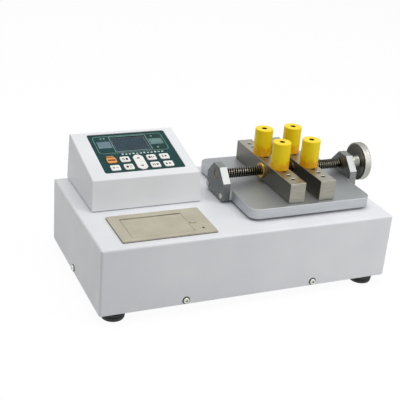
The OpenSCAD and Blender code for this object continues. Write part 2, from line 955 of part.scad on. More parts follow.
// Rocker of the power switch, tilted to its off position
module switch_rocker() {
    half = rocker_w / 2 + rocker_pin_l;
    color("dimgray") placed() at_rear(switch_x)
        translate([0, switch_flange_t - rocker_pivot, 0]) rotate([rocker_tilt, 0, 0]) {
            intersection() {
                translate([-rocker_w / 2, 0, 0])
                    along_x(rocker_w)
                        polygon([
                            [rocker_pivot - rocker_deep, -rocker_r],
                            [rocker_pivot + rocker_high, -rocker_r],
                            [rocker_pivot + rocker_mid, 0],
                            [rocker_pivot + rocker_high, rocker_r],
                            [rocker_pivot - rocker_deep, rocker_r]
                        ]);
                translate([-rocker_w / 2, 0, 0]) rod_x(rocker_r, rocker_w);
            }
            translate([-half, 0, 0]) rod_x(rocker_pin_r, 2 * half);
        }
}

// Round low-voltage power socket
module power_socket() {
    color("black") placed() at_rear(power_x) {
        difference() {
            union() {
                rod_y(power_flange_d / 2, power_flange_t);
                translate([0, -power_barrel_l, 0]) rod_y(power_barrel_d / 2, power_barrel_l + over);
                translate([-power_body / 2, -power_barrel_l - power_body_l, -power_body / 2])
                    cube([power_body, power_body_l, power_body]);
            }
            translate([0, power_flange_t - power_bore_l, 0]) rod_y(power_bore_d / 2, power_bore_l + over);
        }
        translate([0, -power_bore_l, 0]) rod_y(power_pin_d / 2, power_bore_l);
    }
}

// Outline of the data socket's shell in X and Z, grown by g
module data_outline(g) {
    w = data_shell_w / 2 + g;
    h = data_shell_h / 2 + g;
    polygon(rounded([
        [-w + data_taper, -h, data_shell_r],
        [w - data_taper, -h, data_shell_r],
        [w, h, data_shell_r],
        [-w, h, data_shell_r]
    ]));
}

// Nine-hole data socket with its flange
module data_socket() {
    color("silver") placed() at_rear(data_x) difference() {
        union() {
            translate([-data_flange_w / 2, 0, -data_flange_h / 2])
                along_y(data_flange_t) round_rect(data_flange_w, data_flange_h, data_flange_r);
            translate([0, -cover_t - data_body_l, 0])
                along_y(cover_t + data_body_l + data_flange_t + data_shell_l) data_outline(0);
        }
        for (row = [0, 1], i = [0:data_row_holes - 1 - row])
            translate([(i - (data_row_holes - 1 - row) / 2) * data_hole_pitch,
                data_flange_t + data_shell_l - data_hole_l, (1 / 2 - row) * data_row_pitch])
                rod_y(data_hole_d / 2, data_hole_l + over);
        for (side = [-1, 1])
            translate([side * data_screw_pitch / 2, -over, 0])
                rod_y(data_thread_d / 2 + hold_fit, data_flange_t + 2 * over);
    }
}

// Two hexagonal screws that hold the data socket and its plug
module data_screws() {
    color("silver") placed()
        for (side = [-1, 1])
            at_rear(data_x + side * data_screw_pitch / 2) {
                translate([0, data_flange_t, 0])
                    rotate([-90, 0, 0]) cylinder(d = data_nut_d, h = data_nut_l, $fn = 6);
                translate([0, data_flange_t - data_thread_l, 0])
                    rod_y(data_thread_d / 2, data_thread_l);
            }
}

// Space of the paper roll, grown by g
module roll_space(g) {
    w = paper_w / 2 + bay_side_gap + g;
    r = roll_d / 2 + roll_gap + g;
    translate([bay_mid - w, roll_y, roll_z]) rod_x(r, 2 * w);
    translate([bay_mid - w, roll_y - r, roll_z]) cube([2 * w, 2 * r, -roll_z]);
}

// Space of the platen roller between the door's cheeks, grown by g
module platen_space(g) {
    w = paper_w / 2 + platen_side_gap + cheek_t + 2 * bay_side_gap + g;
    y = roll_y + roll_d / 2 + roll_gap;
    translate([bay_mid - w, y - g, -platen_bay_h - g])
        cube([2 * w, tub_y + tub_d - tub_t - y + g, platen_bay_h + g]);
}

// Body of the printer: bezel, walls, paper cradle and openings
module printer_frame() {
    door_cut = door_w + 2 * door_gap;
    color("tan") placed() at_printer() difference() {
        union() {
            round_plate(printer_w, printer_d, bezel_t, bezel_r);
            difference() {
                translate([tub_x, tub_y, -tub_h]) cube([tub_w, tub_d, tub_h + bezel_t / 2]);
                translate([tub_x + tub_t, tub_y + tub_t, -tub_h - over])
                    cube([tub_w - 2 * tub_t, tub_d - 2 * tub_t, tub_h + over - deck_t]);
            }
            roll_space(tub_t);
            platen_space(tub_t);
        }
        roll_space(0);
        platen_space(0);
        translate([door_x - door_gap, hinge_y, bezel_t - door_t - door_seat])
            cube([door_cut, door_y + door_d + slot_w - hinge_y, door_t + door_seat + over]);
        translate([door_x - door_gap, door_y - door_gap, hinge_z])
            cube([door_cut, barrel_r + door_gap, barrel_r + over]);
        translate([door_x - door_gap, hinge_y, hinge_z]) rod_x(barrel_r + door_gap, door_cut);
        translate([door_x - pin_grip, hinge_y, hinge_z]) rod_x(pin_r + hold_fit, door_w + 2 * pin_grip);
        translate([button_x - button_w / 2 - small_fit, button_y - button_d / 2 - small_fit, -deck_t - over])
            round_plate(button_w + 2 * small_fit, button_d + 2 * small_fit, deck_t + bezel_t + 2 * over,
                button_r + small_fit);
        translate([light_x, light_y, -deck_t - over])
            cylinder(d = light_d + 2 * hold_fit, h = deck_t + bezel_t + 2 * over);
    }
}

// Hinged door of the printer with the two cheeks that carry the platen roller
module printer_door() {
    cheek_in = paper_w / 2 + platen_side_gap;
    cheek_top = bezel_t - door_t / 2;
    color("tan") placed() at_printer() difference() {
        union() {
            translate([door_x, hinge_y, bezel_t - door_t]) cube([door_w, door_y + door_d - hinge_y, door_t]);
            translate([door_x, hinge_y, hinge_z]) rod_x(barrel_r, door_w);
            for (x = [bay_mid - cheek_in - cheek_t, bay_mid + cheek_in]) {
                translate([x, platen_y, platen_z]) rod_x(cheek_r, cheek_t);
                translate([x, platen_y - cheek_r, platen_z])
                    cube([cheek_t, 2 * cheek_r, cheek_top - platen_z]);
            }
        }
        translate([door_x - over, hinge_y, hinge_z]) rod_x(pin_r + run_fit, door_w + 2 * over);
        for (x = [bay_mid - cheek_in - cheek_t, bay_mid + cheek_in])
            translate([x - over, platen_y, platen_z]) rod_x(platen_shaft_r + run_fit, cheek_t + 2 * over);
    }
}

// Steel pin of the door's hinge
module door_hinge_pin() {
    color("silver") placed() at_printer()
        translate([door_x - pin_grip + hold_fit, hinge_y, hinge_z])
            rod_x(pin_r, door_w + 2 * (pin_grip - hold_fit));
}

// Roll of paper on its core
module paper_roll() {
    color("white") placed() at_printer()
        translate([bay_mid - paper_w / 2, roll_y, roll_z]) difference() {
            rod_x(roll_d / 2, paper_w);
            translate([-over, 0, 0]) rod_x(core_d / 2, paper_w + 2 * over);
        }
}

// Rubber roller that draws the paper, on its steel shaft
module platen_roller() {
    shaft = paper_w / 2 + platen_side_gap + cheek_t;
    color("black") placed() at_printer() translate([bay_mid, platen_y, platen_z]) {
        translate([-paper_w / 2, 0, 0]) rod_x(platen_d / 2, paper_w);
        translate([-shaft, 0, 0]) rod_x(platen_shaft_r, 2 * shaft);
    }
}

// Thermal print head on the frame's back wall
module print_head() {
    y = platen_y + platen_d / 2 + head_gap;
    color("dimgray") placed() at_printer()
        translate([bay_mid - paper_w / 2, y, -platen_bay_h])
            cube([paper_w, tub_y + tub_d - tub_t - y, head_h]);
}

// Paper feed button
module feed_button() {
    color("tan") placed() at_printer()
        translate([button_x - button_w / 2, button_y - button_d / 2, -deck_t])
            round_plate(button_w, button_d, deck_t + bezel_t + button_proud, button_r);
}

// Indicator lamp of the printer
module printer_light() {
    color("black") placed() at_printer() translate([light_x, light_y, bezel_t + light_proud - light_l]) {
        cylinder(d = light_d, h = light_l - light_d / 2);
        translate([0, 0, light_l - light_d / 2]) sphere(d = light_d);
    }
}

// Four places at the corners of a square, on a circle of radius r
function cap_places(r) = [for (a = [45:90:315]) [r * cos(a), r * sin(a)]];

// Pedestal that carries the torque cell
module pedestal() {
    h = cell_low - chassis_top;
    color("silver") placed() translate([clamp_x, clamp_y, chassis_top]) difference() {
        union() {
            cylinder(d = pedestal_d, h = h);
            cylinder(d = pedestal_foot_d, h = cell_flange_t);
        }
        for (p = cap_places(cell_screw_r))
            translate([p[0], p[1], h - cap_screw_l]) cylinder(d = cap_screw_d + 2 * hold_fit, h = cap_screw_l + over);
        for (p = cap_places(pedestal_foot_d / 2 - foot_circle_inset))
            translate([p[0], p[1], -over]) cylinder(d = cap_screw_d + 2 * hold_fit, h = cell_flange_t + 2 * over);
        translate([0, 0, -over]) cylinder(r = cell_screw_r - cap_head_d, h = h + 2 * over);
    }
}

// Torque cell: a cross-shaped spring between two flanges
module torque_cell() {
    color("lightsteelblue") placed() translate([clamp_x, clamp_y, cell_low]) difference() {
        union() {
            cylinder(d = cell_low_d, h = cell_flange_t);
            translate([0, 0, cell_h - cell_flange_t]) cylinder(d = cell_up_d, h = cell_flange_t);
            translate([-cross_l / 2, -cross_t / 2, 0]) cube([cross_l, cross_t, cell_h]);
            translate([-cross_t / 2, -cross_l / 2, 0]) cube([cross_t, cross_l, cell_h]);
        }
        for (p = cap_places(cell_screw_r))
            translate([p[0], p[1], -over]) cylinder(d = cap_screw_d + 2 * hold_fit, h = cell_flange_t + 2 * over);
        for (p = cap_places(plate_screw_r))
            translate([p[0], p[1], cell_h - cell_flange_t - over])
                cylinder(d = cap_screw_d + 2 * hold_fit, h = cell_flange_t + 2 * over);
    }
}

// Socket head screw with its head at +Z and its shank down
module cap_screw(d, l, head_d, head_h, hex, hex_h) {
    translate([0, 0, -l]) cylinder(d = d, h = l + head_h / 4);
    difference() {
        cylinder(d = head_d, h = head_h);
        translate([0, 0, head_h - hex_h]) cylinder(d = hex / cos(30), h = hex_h + over, $fn = 6);
    }
}

// Eight screws: four hold the cell to the pedestal, four hold the pedestal down
module cell_screws() {
    color("dimgray") placed() {
        for (p = cap_places(cell_screw_r))
            translate([clamp_x + p[0], clamp_y + p[1], cell_low + cell_flange_t])
                cap_screw(cap_screw_d, cap_screw_l, cap_head_d, cap_head_h, cap_hex, cap_hex_h);
        for (p = cap_places(pedestal_foot_d / 2 - foot_circle_inset))
            translate([clamp_x + p[0], clamp_y + p[1], chassis_top + cell_flange_t])
                cap_screw(cap_screw_d, cap_screw_l, cap_head_d, cap_head_h, cap_hex, cap_hex_h);
    }
}

// Clamp plate with a tab at each end
module clamp_plate() {
    color("lightgray") placed() at_clamp() difference() {
        union() {
            translate([-plate_w / 2, -plate_d / 2, 0]) round_plate(plate_w, plate_d, plate_t, plate_r);
            translate([-support_in, -support_w / 2, 0]) cube([2 * support_in, support_w, plate_t]);
        }
        for (p = cap_places(plate_screw_r)) translate([p[0], p[1], 0]) {
            translate([0, 0, -over]) cylinder(d = cap_screw_d + 2 * small_fit, h = plate_t + 2 * over);
            translate([0, 0, plate_t - sink_h])
                cylinder(d1 = cap_screw_d + 2 * small_fit, d2 = sink_d + 2 * small_fit, h = sink_h);
        }
        for (side = [-1, 1], y = [-1, 1])
            translate([side * (support_in + over), y * support_screw_y, support_screw_z])
                rotate([0, 0, side * 90 + 90])
                    rod_x(support_screw_d / 2 + hold_fit, support_screw_l + over);
    }
}

// Four countersunk screws that hold the clamp plate to the torque cell
module plate_screws() {
    color("silver") placed() at_clamp()
        for (p = cap_places(plate_screw_r)) translate([p[0], p[1], 0]) {
            translate([0, 0, plate_t - plate_screw_l]) cylinder(d = cap_screw_d, h = plate_screw_l - sink_h / 2);
            translate([0, 0, plate_t - sink_h]) cylinder(d1 = cap_screw_d, d2 = sink_d, h = sink_h);
        }
}

// Support of the lead screw on the side s of the clamp: -1 left, 1 right
module support(s) {
    w = support_w / 2;
    top = support_top_w / 2;
    color("gray") placed() at_clamp() difference() {
        translate([s > 0 ? support_in : -support_out, 0, 0])
            along_x(support_t)
                polygon([
                    [-w, 0], [w, 0], [w, support_shoulder], [top, support_h],
                    [-top, support_h], [-w, support_shoulder]
                ]);
        translate([s > 0 ? support_in - over : -support_out - over, 0, screw_axis_h])
            rod_x(bush_d / 2 + hold_fit, support_t + 2 * over);
        for (y = [-1, 1])
            translate([s * (support_out + over), y * support_screw_y, support_screw_z])
                rotate([0, 0, s * 90 + 90]) {
                    rod_x(support_screw_d / 2 + small_fit, support_t + 2 * over);
                    rod_x(support_head_d / 2 + small_fit, over + support_head_h - support_head_proud);
                }
    }
}

// Four screws that hold the supports to the clamp plate's tabs
module support_screws() {
    seat = support_out - support_head_h + support_head_proud;
    color("dimgray") placed() at_clamp()
        for (s = [-1, 1], y = [-1, 1])
            translate([s * seat, y * support_screw_y, support_screw_z])
                rotate([0, s * 90, 0])
                    cap_screw(support_screw_d, support_screw_l, support_head_d, support_head_h,
                        support_hex, support_hex_h);
}

// Two flanged bushes in which the lead screw turns
module screw_bushes() {
    l = support_t - bush_back;
    color("peru") placed() at_clamp()
        for (s = [-1, 1])
            translate([s * support_in, 0, screw_axis_h]) rotate([0, s * 90, 0]) difference() {
                union() {
                    translate([0, 0, -bush_flange_t]) cylinder(d = bush_flange_d, h = bush_flange_t);
                    cylinder(d = bush_d, h = l);
                }
                translate([0, 0, -bush_flange_t - over])
                    cylinder(d = journal_d + 2 * run_fit, h = l + bush_flange_t + 2 * over);
            }
}

// Lead screw with a journal at each end
module lead_screw() {
    left = support_out - journal_back;
    right = wheel_out - journal_back;
    color("dimgray") placed() at_clamp() translate([0, 0, screw_axis_h]) {
        translate([-screw_shoulder, 0, 0]) rod_x(screw_d / 2, 2 * screw_shoulder);
        translate([-left, 0, 0]) rod_x(journal_d / 2, left + right);
    }
}

// Handwheel with its hub and a dished face
module handwheel() {
    color("gainsboro") placed() at_clamp() translate([0, 0, screw_axis_h]) difference() {
        translate([wheel_face, 0, 0]) rotate([0, 90, 0])
            rotate_extrude()
                polygon([
                    [journal_d / 2 + hold_fit, -hub_l],
                    [hub_d / 2, -hub_l],
                    [hub_d / 2, dish_h],
                    [dish_in_d / 2, dish_h],
                    [dish_out_d / 2, 0],
                    [wheel_d / 2 - wheel_edge, 0],
                    [wheel_d / 2, wheel_edge],
                    [wheel_d / 2, wheel_t - wheel_edge],
                    [wheel_d / 2 - wheel_edge, wheel_t],
                    [dish_out_d / 2, wheel_t],
                    [dish_in_d / 2, wheel_t - wheel_crown],
                    [journal_d / 2 + hold_fit, wheel_t - wheel_crown]
                ]);
        translate([wheel_in + hub_l * set_screw_share, 0, 0])
            cylinder(d = set_screw_d + 2 * hold_fit, h = hub_d);
    }
}

// Set screw that locks the handwheel to the lead screw
module wheel_set_screw() {
    low = journal_d / 2 + run_fit;
    color("dimgray") placed() at_clamp()
        translate([wheel_in + hub_l * set_screw_share, 0, screw_axis_h + low])
            cylinder(d = set_screw_d, h = hub_d / 2 - low - small_fit);
}

// Jaw on the side s of the clamp, with its rows of post holes
module jaw(s) {
    h = jaw_top_h - jaw_low_h;
    color("silver") placed() at_clamp() translate([s * jaw_offset, 0, 0]) difference() {
        translate([-jaw_w / 2, -jaw_l / 2, jaw_low_h]) along_y(jaw_l) round_rect(jaw_w, h, jaw_edge);
        translate([-jaw_w / 2 - over, 0, screw_axis_h]) rod_x(nut_d / 2 + hold_fit, jaw_w + 2 * over);
        for (side = [-1, 1], i = [1:holes_per_side])
            translate([0, side * i * hole_pitch, jaw_top_h]) {
                translate([0, 0, -post_hole_l]) cylinder(d = post_hole_d, h = post_hole_l + over);
                translate([0, 0, -post_hole_rim])
                    cylinder(d1 = post_hole_d, d2 = post_hole_d + 2 * post_hole_rim, h = post_hole_rim);
            }
    }
}

// Flanged brass nut of the jaw on the side s of the clamp
module jaw_nut(s) {
    color("goldenrod") placed() at_clamp()
        translate([s * (jaw_offset + jaw_w / 2), 0, screw_axis_h]) rotate([0, s * 90, 0]) difference() {
            union() {
                translate([0, 0, -jaw_w]) cylinder(d = nut_d, h = jaw_w);
                cylinder(d = nut_flange_d, h = nut_flange_t);
            }
            translate([0, 0, -jaw_w - over])
                cylinder(d = screw_d + 2 * run_fit, h = jaw_w + nut_flange_t + 2 * over);
        }
}

// Soft sleeve of the post on the side sx and sy of the clamp's centre
module sleeve(sx, sy) {
    r = sleeve_d / 2;
    bore = post_pin_d / 2 + hold_fit;
    e = sleeve_edge_r;
    color("gold") placed() at_clamp()
        translate([sx * jaw_offset, sy * post_y, jaw_top_h])
            rotate_extrude() {
                translate([bore, 0]) square([r - bore, sleeve_h - e]);
                translate([bore, 0]) square([r - e - bore, sleeve_h]);
                translate([r - e, sleeve_h - e]) circle(e);
            }
}

// Pin of the post on the side sx and sy of the clamp's centre
module post_pin(sx, sy) {
    color("dimgray") placed() at_clamp() translate([sx * jaw_offset, sy * post_y, jaw_top_h]) {
        cylinder(d = post_pin_d, h = sleeve_h - post_pin_top);
        translate([0, 0, -post_pin_l]) cylinder(d = post_hole_d - 2 * run_fit, h = post_pin_l + over);
    }
}

base_cover();
chassis_plate();
housing_screws();
rubber_feet();
foot_screws();
console_housing();
console_gasket();
keypad_overlay();
keypad_backing();
key_board();
lcd_window();
lcd_module();
square_key(-2, 1, "orange");  // orange_key
square_key(-1, 1, "ivory");  // upper_key_2
square_key(1, 1, "ivory");  // upper_key_3
square_key(2, 1, "ivory");  // upper_key_4
square_key(-2, -1, "ivory");  // lower_key_1
square_key(-1, -1, "ivory");  // lower_key_2
square_key(1, -1, "ivory");  // lower_key_3
square_key(2, -1, "ivory");  // lower_key_4
arrow_key();
main_board();
battery_pack();
switch_frame();
switch_rocker();
power_socket();
data_socket();
data_screws();
printer_frame();
printer_door();
door_hinge_pin();
paper_roll();
platen_roller();
print_head();
feed_button();
printer_light();
pedestal();
torque_cell();
cell_screws();
clamp_plate();
plate_screws();
support(-1);  // left_support
support(1);  // right_support
support_screws();
screw_bushes();
lead_screw();
handwheel();
wheel_set_screw();
jaw(-1);  // left_jaw
jaw(1);  // right_jaw
jaw_nut(-1);  // left_jaw_nut
jaw_nut(1);  // right_jaw_nut
sleeve(-1, -1);  // front_left_sleeve
sleeve(1, -1);  // front_right_sleeve
sleeve(-1, 1);  // back_left_sleeve
sleeve(1, 1);  // back_right_sleeve
post_pin(-1, -1);  // front_left_pin
post_pin(1, -1);  // front_right_pin
post_pin(-1, 1);  // back_left_pin
post_pin(1, 1);  // back_right_pin
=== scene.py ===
"""Looks of a bench cap torque tester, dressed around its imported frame.

Lengths are in metres, except in the keypad's print, which is laid out in millimetres on its sloping face."""

import json
import math

import bmesh
import bpy
from mathutils import Matrix, Vector

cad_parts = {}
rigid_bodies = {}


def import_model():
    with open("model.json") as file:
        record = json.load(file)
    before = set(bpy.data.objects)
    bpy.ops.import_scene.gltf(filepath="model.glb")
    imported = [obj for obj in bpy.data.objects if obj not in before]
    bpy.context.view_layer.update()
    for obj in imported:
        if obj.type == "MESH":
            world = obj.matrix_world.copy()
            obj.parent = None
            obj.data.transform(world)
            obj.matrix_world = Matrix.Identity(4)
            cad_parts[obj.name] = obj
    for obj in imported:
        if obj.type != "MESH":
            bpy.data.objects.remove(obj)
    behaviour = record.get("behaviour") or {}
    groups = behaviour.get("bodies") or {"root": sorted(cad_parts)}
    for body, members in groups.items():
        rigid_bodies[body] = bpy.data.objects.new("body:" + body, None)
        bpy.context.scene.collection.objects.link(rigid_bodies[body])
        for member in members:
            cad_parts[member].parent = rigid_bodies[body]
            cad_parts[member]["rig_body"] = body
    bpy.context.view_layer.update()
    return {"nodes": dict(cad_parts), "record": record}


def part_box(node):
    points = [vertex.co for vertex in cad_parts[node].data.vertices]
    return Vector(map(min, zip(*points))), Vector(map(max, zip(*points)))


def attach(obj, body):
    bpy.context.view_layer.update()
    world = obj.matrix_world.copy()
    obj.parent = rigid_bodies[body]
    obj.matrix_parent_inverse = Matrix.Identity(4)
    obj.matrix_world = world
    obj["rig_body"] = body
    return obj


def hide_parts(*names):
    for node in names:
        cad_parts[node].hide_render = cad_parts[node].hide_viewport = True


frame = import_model()

MM = 0.001
NODES = frame["nodes"]

# ---------------------------------------------------------------- camera and light

CAMERA_AZIMUTH, CAMERA_ELEVATION, CAMERA_ROLL = -24.66, 24.17, 4.65
CAMERA_DISTANCE = 1.07912
CAMERA_TARGET = Vector((-0.026855, 0.01422, 0.0827))
CAMERA_LENS, CAMERA_SENSOR = 80.3, 36.0
CAMERA_NEAR, CAMERA_FAR = 0.05, 50
SKY, SKY_BLUE = 0.385, 1.02
FLOOR_HALF, FLOOR_SHADE, FLOOR_GLOW, SHADOW_SHARE = 6, 0.6, 1.09, 0.14
LAMPS = {    # place, aim, width of the soft box and power in watts
    "key_lamp": ((0.59, -0.62, 1.19), (0.06, 0, 0.08), 0.4, 3.7),
    "top_lamp": ((-0.15, 0.1, 1.5), (-0.02, 0, 0.08), 1.1, 8.7),
    "side_lamp": ((0.62, -0.62, 0.42), (0.2, -0.1, 0.04), 0.4, 1.2),
}


def make_camera():
    """Camera at the photograph's viewing angle, tilted a little as the photograph is."""
    az, el, roll = (math.radians(a) for a in (CAMERA_AZIMUTH, CAMERA_ELEVATION, CAMERA_ROLL))
    back = Vector((math.sin(az) * math.cos(el), -math.cos(az) * math.cos(el), math.sin(el)))
    level = Vector((math.cos(az), math.sin(az), 0))
    upright = back.cross(level)
    right = math.cos(roll) * level + math.sin(roll) * upright
    up = math.cos(roll) * upright - math.sin(roll) * level
    data = bpy.data.cameras.new("photo_camera")
    data.lens = CAMERA_LENS
    data.sensor_width = CAMERA_SENSOR
    data.clip_start, data.clip_end = CAMERA_NEAR, CAMERA_FAR
    camera = bpy.data.objects.new("photo_camera", data)
    turn = Matrix((right, up, back)).transposed().to_4x4()
    camera.matrix_world = Matrix.Translation(CAMERA_TARGET + CAMERA_DISTANCE * back) @ turn
    bpy.context.scene.collection.objects.link(camera)
    bpy.context.scene.camera = camera


def make_lamp(name, place, aim, size, power):
    """Square soft box at place that points at aim."""
    data = bpy.data.lights.new(name, "AREA")
    data.shape, data.size, data.energy = "SQUARE", size, power
    lamp = bpy.data.objects.new(name, data)
    lamp.location = place
    lamp.rotation_euler = (Vector(aim) - Vector(place)).to_track_quat("-Z", "Y").to_euler()
    bpy.context.scene.collection.objects.link(lamp)


def seen_directly(nodes, links):
    """Output that is 1 for camera, mirrored and transmitted rays, and 0 for the rays that light dull faces."""
    path = nodes.new("ShaderNodeLightPath")
    total = None
    for ray in ("Is Camera Ray", "Is Glossy Ray", "Is Transmission Ray"):
        if total is None:
            total = path.outputs[ray]
            continue
        add = nodes.new("ShaderNodeMath")
        add.operation, add.use_clamp = "ADD", True
        links.new(total, add.inputs[0])
        links.new(path.outputs[ray], add.inputs[1])
        total = add.outputs[0]
    return total


def make_world():
    """White background, with a dimmer sky for the light that falls on the object."""
    world = bpy.data.worlds.new("studio")
    world.use_nodes = True
    nodes, links = world.node_tree.nodes, world.node_tree.links
    background = nodes["Background"]
    mix = nodes.new("ShaderNodeMix")
    mix.data_type = "RGBA"
    mix.inputs["A"].default_value = (SKY, SKY, SKY * SKY_BLUE, 1)
    mix.inputs["B"].default_value = (1, 1, 1, 1)
    links.new(seen_directly(nodes, links), mix.inputs["Factor"])
    links.new(mix.outputs["Result"], background.inputs["Color"])
    bpy.context.scene.world = world


def make_floor():
    """Pale floor that shows white and keeps a light shadow under the object."""
    mesh = bpy.data.meshes.new("floor")
    half = FLOOR_HALF
    mesh.from_pydata([(-half, -half, 0), (half, -half, 0), (half, half, 0), (-half, half, 0)],
                     [], [(0, 1, 2, 3)])
    floor = bpy.data.objects.new("floor", mesh)
    bpy.context.scene.collection.objects.link(floor)
    paper = bpy.data.materials.new("floor_paper")
    paper.use_nodes = True
    nodes, links = paper.node_tree.nodes, paper.node_tree.links
    nodes.clear()
    matt = nodes.new("ShaderNodeBsdfDiffuse")
    matt.inputs["Color"].default_value = (FLOOR_SHADE, FLOOR_SHADE, FLOOR_SHADE, 1)
    glow = nodes.new("ShaderNodeEmission")
    glow.inputs["Strength"].default_value = FLOOR_GLOW
    blend = nodes.new("ShaderNodeMixShader")
    weigh = nodes.new("ShaderNodeMath")
    weigh.operation = "MULTIPLY"
    weigh.inputs[1].default_value = 1 - SHADOW_SHARE
    links.new(seen_directly(nodes, links), weigh.inputs[0])
    links.new(weigh.outputs[0], blend.inputs[0])
    links.new(matt.outputs[0], blend.inputs[1])
    links.new(glow.outputs[0], blend.inputs[2])
    links.new(blend.outputs[0], nodes.new("ShaderNodeOutputMaterial").inputs["Surface"])
    mesh.materials.append(paper)


bpy.context.scene.view_settings.view_transform = "Standard"
make_camera()
make_world()
make_floor()
for lamp_name, (place, aim, size, power) in LAMPS.items():
    make_lamp(lamp_name, place, aim, size, power)

# ---------------------------------------------------------------- materials

RAMP_START, RAMP_END = 0.3, 0.7    # the part of a texture's range that holds nearly all of it
LATHE_RINGS = 2600                 # rings to the metre
CLOUDS = 0.22                      # how far a cloud takes the urethane's colour along its ramp


def shade(red, green, blue):
    """Colour for a shader from the three values, 0 to 255, that it shows on screen."""
    def linear(v):
        v /= 255
        return v / 12.92 if v <= 0.04045 else ((v + 0.055) / 1.055) ** 2.4
    return (linear(red), linear(green), linear(blue), 1)


class Surface:
    """A procedural material, built up from textures in the object's own coordinates."""

    def __init__(self, name, rough=0.5, metal=0.0, **sockets):
        self.material = bpy.data.materials.new(name)
        self.material.use_nodes = True
        self.nodes, self.links = self.material.node_tree.nodes, self.material.node_tree.links
        self.shader = self.nodes["Principled BSDF"]
        self.shader.inputs["Roughness"].default_value = rough
        self.shader.inputs["Metallic"].default_value = metal
        for socket, value in sockets.items():
            self.shader.inputs[socket.replace("_", " ")].default_value = value
        self.place = self.nodes.new("ShaderNodeTexCoord").outputs["Object"]
        self.height = None

    def stretched(self, factors):
        """The object's coordinates, stretched, for grain that runs one way."""
        mapping = self.nodes.new("ShaderNodeMapping")
        mapping.inputs["Scale"].default_value = factors
        self.links.new(self.place, mapping.inputs["Vector"])
        return mapping.outputs["Vector"]

    def noise(self, scale, detail=3.0, place=None):
        """Noise from 0 to 1, with features about 1/scale metres wide."""
        texture = self.nodes.new("ShaderNodeTexNoise")
        texture.inputs["Scale"].default_value = scale
        texture.inputs["Detail"].default_value = detail
        self.links.new(place or self.place, texture.inputs["Vector"])
        return texture.outputs["Fac"]

    def cells(self, scale):
        """Distance to the nearest of many scattered points, for pebbled and cast surfaces."""
        texture = self.nodes.new("ShaderNodeTexVoronoi")
        texture.inputs["Scale"].default_value = scale
        self.links.new(self.place, texture.inputs["Vector"])
        return texture.outputs["Distance"]

    def rings(self, centre, axis, scale):
        """Fine rings round an axis through centre, as a lathe leaves them, from 0 to 1."""
        shift = self.nodes.new("ShaderNodeVectorMath")
        shift.operation = "SUBTRACT"
        shift.inputs[1].default_value = centre
        self.links.new(self.place, shift.inputs[0])
        flatten = self.nodes.new("ShaderNodeVectorMath")
        flatten.operation = "MULTIPLY"
        flatten.inputs[1].default_value = [0.0 if i == axis else 1.0 for i in range(3)]
        self.links.new(shift.outputs[0], flatten.inputs[0])
        length = self.nodes.new("ShaderNodeVectorMath")
        length.operation = "LENGTH"
        self.links.new(flatten.outputs[0], length.inputs[0])
        spread = self.nodes.new("ShaderNodeMath")
        spread.operation = "MULTIPLY"
        spread.inputs[1].default_value = scale
        self.links.new(length.outputs["Value"], spread.inputs[0])
        texture = self.nodes.new("ShaderNodeTexNoise")
        texture.noise_dimensions = "1D"
        texture.inputs["Scale"].default_value = 1.0
        texture.inputs["Detail"].default_value = 4.0
        self.links.new(spread.outputs[0], texture.inputs["W"])
        return texture.outputs["Fac"]

    def spread(self, value, low, high, start=RAMP_START, end=RAMP_END):
        """A texture's middle range taken to low..high."""
        node = self.nodes.new("ShaderNodeMapRange")
        for socket, number in zip(("From Min", "From Max", "To Min", "To Max"), (start, end, low, high)):
            node.inputs[socket].default_value = number
        self.links.new(value, node.inputs["Value"])
        return node.outputs["Result"]

    def colour(self, value, *stops):
        """Colour along a ramp of evenly spaced stops, driven by a texture's middle range."""
        ramp = self.nodes.new("ShaderNodeValToRGB")
        while len(ramp.color_ramp.elements) < len(stops):
            ramp.color_ramp.elements.new(0.5)
        for i, (element, stop) in enumerate(zip(ramp.color_ramp.elements, stops)):
            element.position = RAMP_START + (RAMP_END - RAMP_START) * i / max(len(stops) - 1, 1)
            element.color = stop
        self.links.new(value, ramp.inputs["Fac"])
        self.links.new(ramp.outputs["Color"], self.shader.inputs["Base Color"])

    def roughness(self, value, low, high):
        """Roughness that varies with a texture."""
        self.links.new(self.spread(value, low, high), self.shader.inputs["Roughness"])

    def relief(self, value, depth):
        """Relief of the given depth, on top of any relief so far."""
        bump = self.nodes.new("ShaderNodeBump")
        bump.inputs["Distance"].default_value = depth
        self.links.new(value, bump.inputs["Height"])
        if self.height is not None:
            self.links.new(self.height, bump.inputs["Normal"])
        self.height = bump.outputs["Normal"]
        self.links.new(self.height, self.shader.inputs["Normal"])


def powder_coat(name, pale, dark):
    """Fine powder coat with a little orange peel."""
    s = Surface(name, rough=0.38, Specular_IOR_Level=0.45)
    s.colour(s.noise(14, 2), dark, pale)
    s.roughness(s.noise(60), 0.34, 0.44)
    s.relief(s.noise(900, 2), 0.04 * MM)
    s.relief(s.noise(4200, 1), 0.01 * MM)
    return s.material


def brushed(name, dark, pale, rough, direction):
    """Metal with grain along one axis: 0 for X, 1 for Y and 2 for Z."""
    s = Surface(name, rough=rough, metal=1.0)
    long = s.stretched([60 if i == direction else 3200 for i in range(3)])
    grain = s.noise(1.0, 4, long)
    s.colour(grain, dark, pale)
    s.roughness(grain, rough - 0.07, rough + 0.09)
    s.relief(grain, 0.006 * MM)
    return s.material


def milled(name, dark, pale, rough=0.38):
    """Metal with the scattered fine grain of a milled and blasted face."""
    s = Surface(name, rough=rough, metal=1.0)
    grain = s.noise(1800, 5)
    s.colour(s.noise(700, 6), dark, pale)
    s.roughness(grain, rough - 0.08, rough + 0.1)
    s.relief(grain, 0.01 * MM)
    return s.material


def turned_metal(name, dark, pale, rough, centre, axis):
    """Metal with the rings that a lathe leaves."""
    s = Surface(name, rough=rough, metal=1.0)
    rings = s.rings(centre, axis, LATHE_RINGS)
    s.colour(rings, dark, pale)
    s.roughness(rings, rough - 0.06, rough + 0.08)
    s.relief(rings, 0.006 * MM)
    return s.material


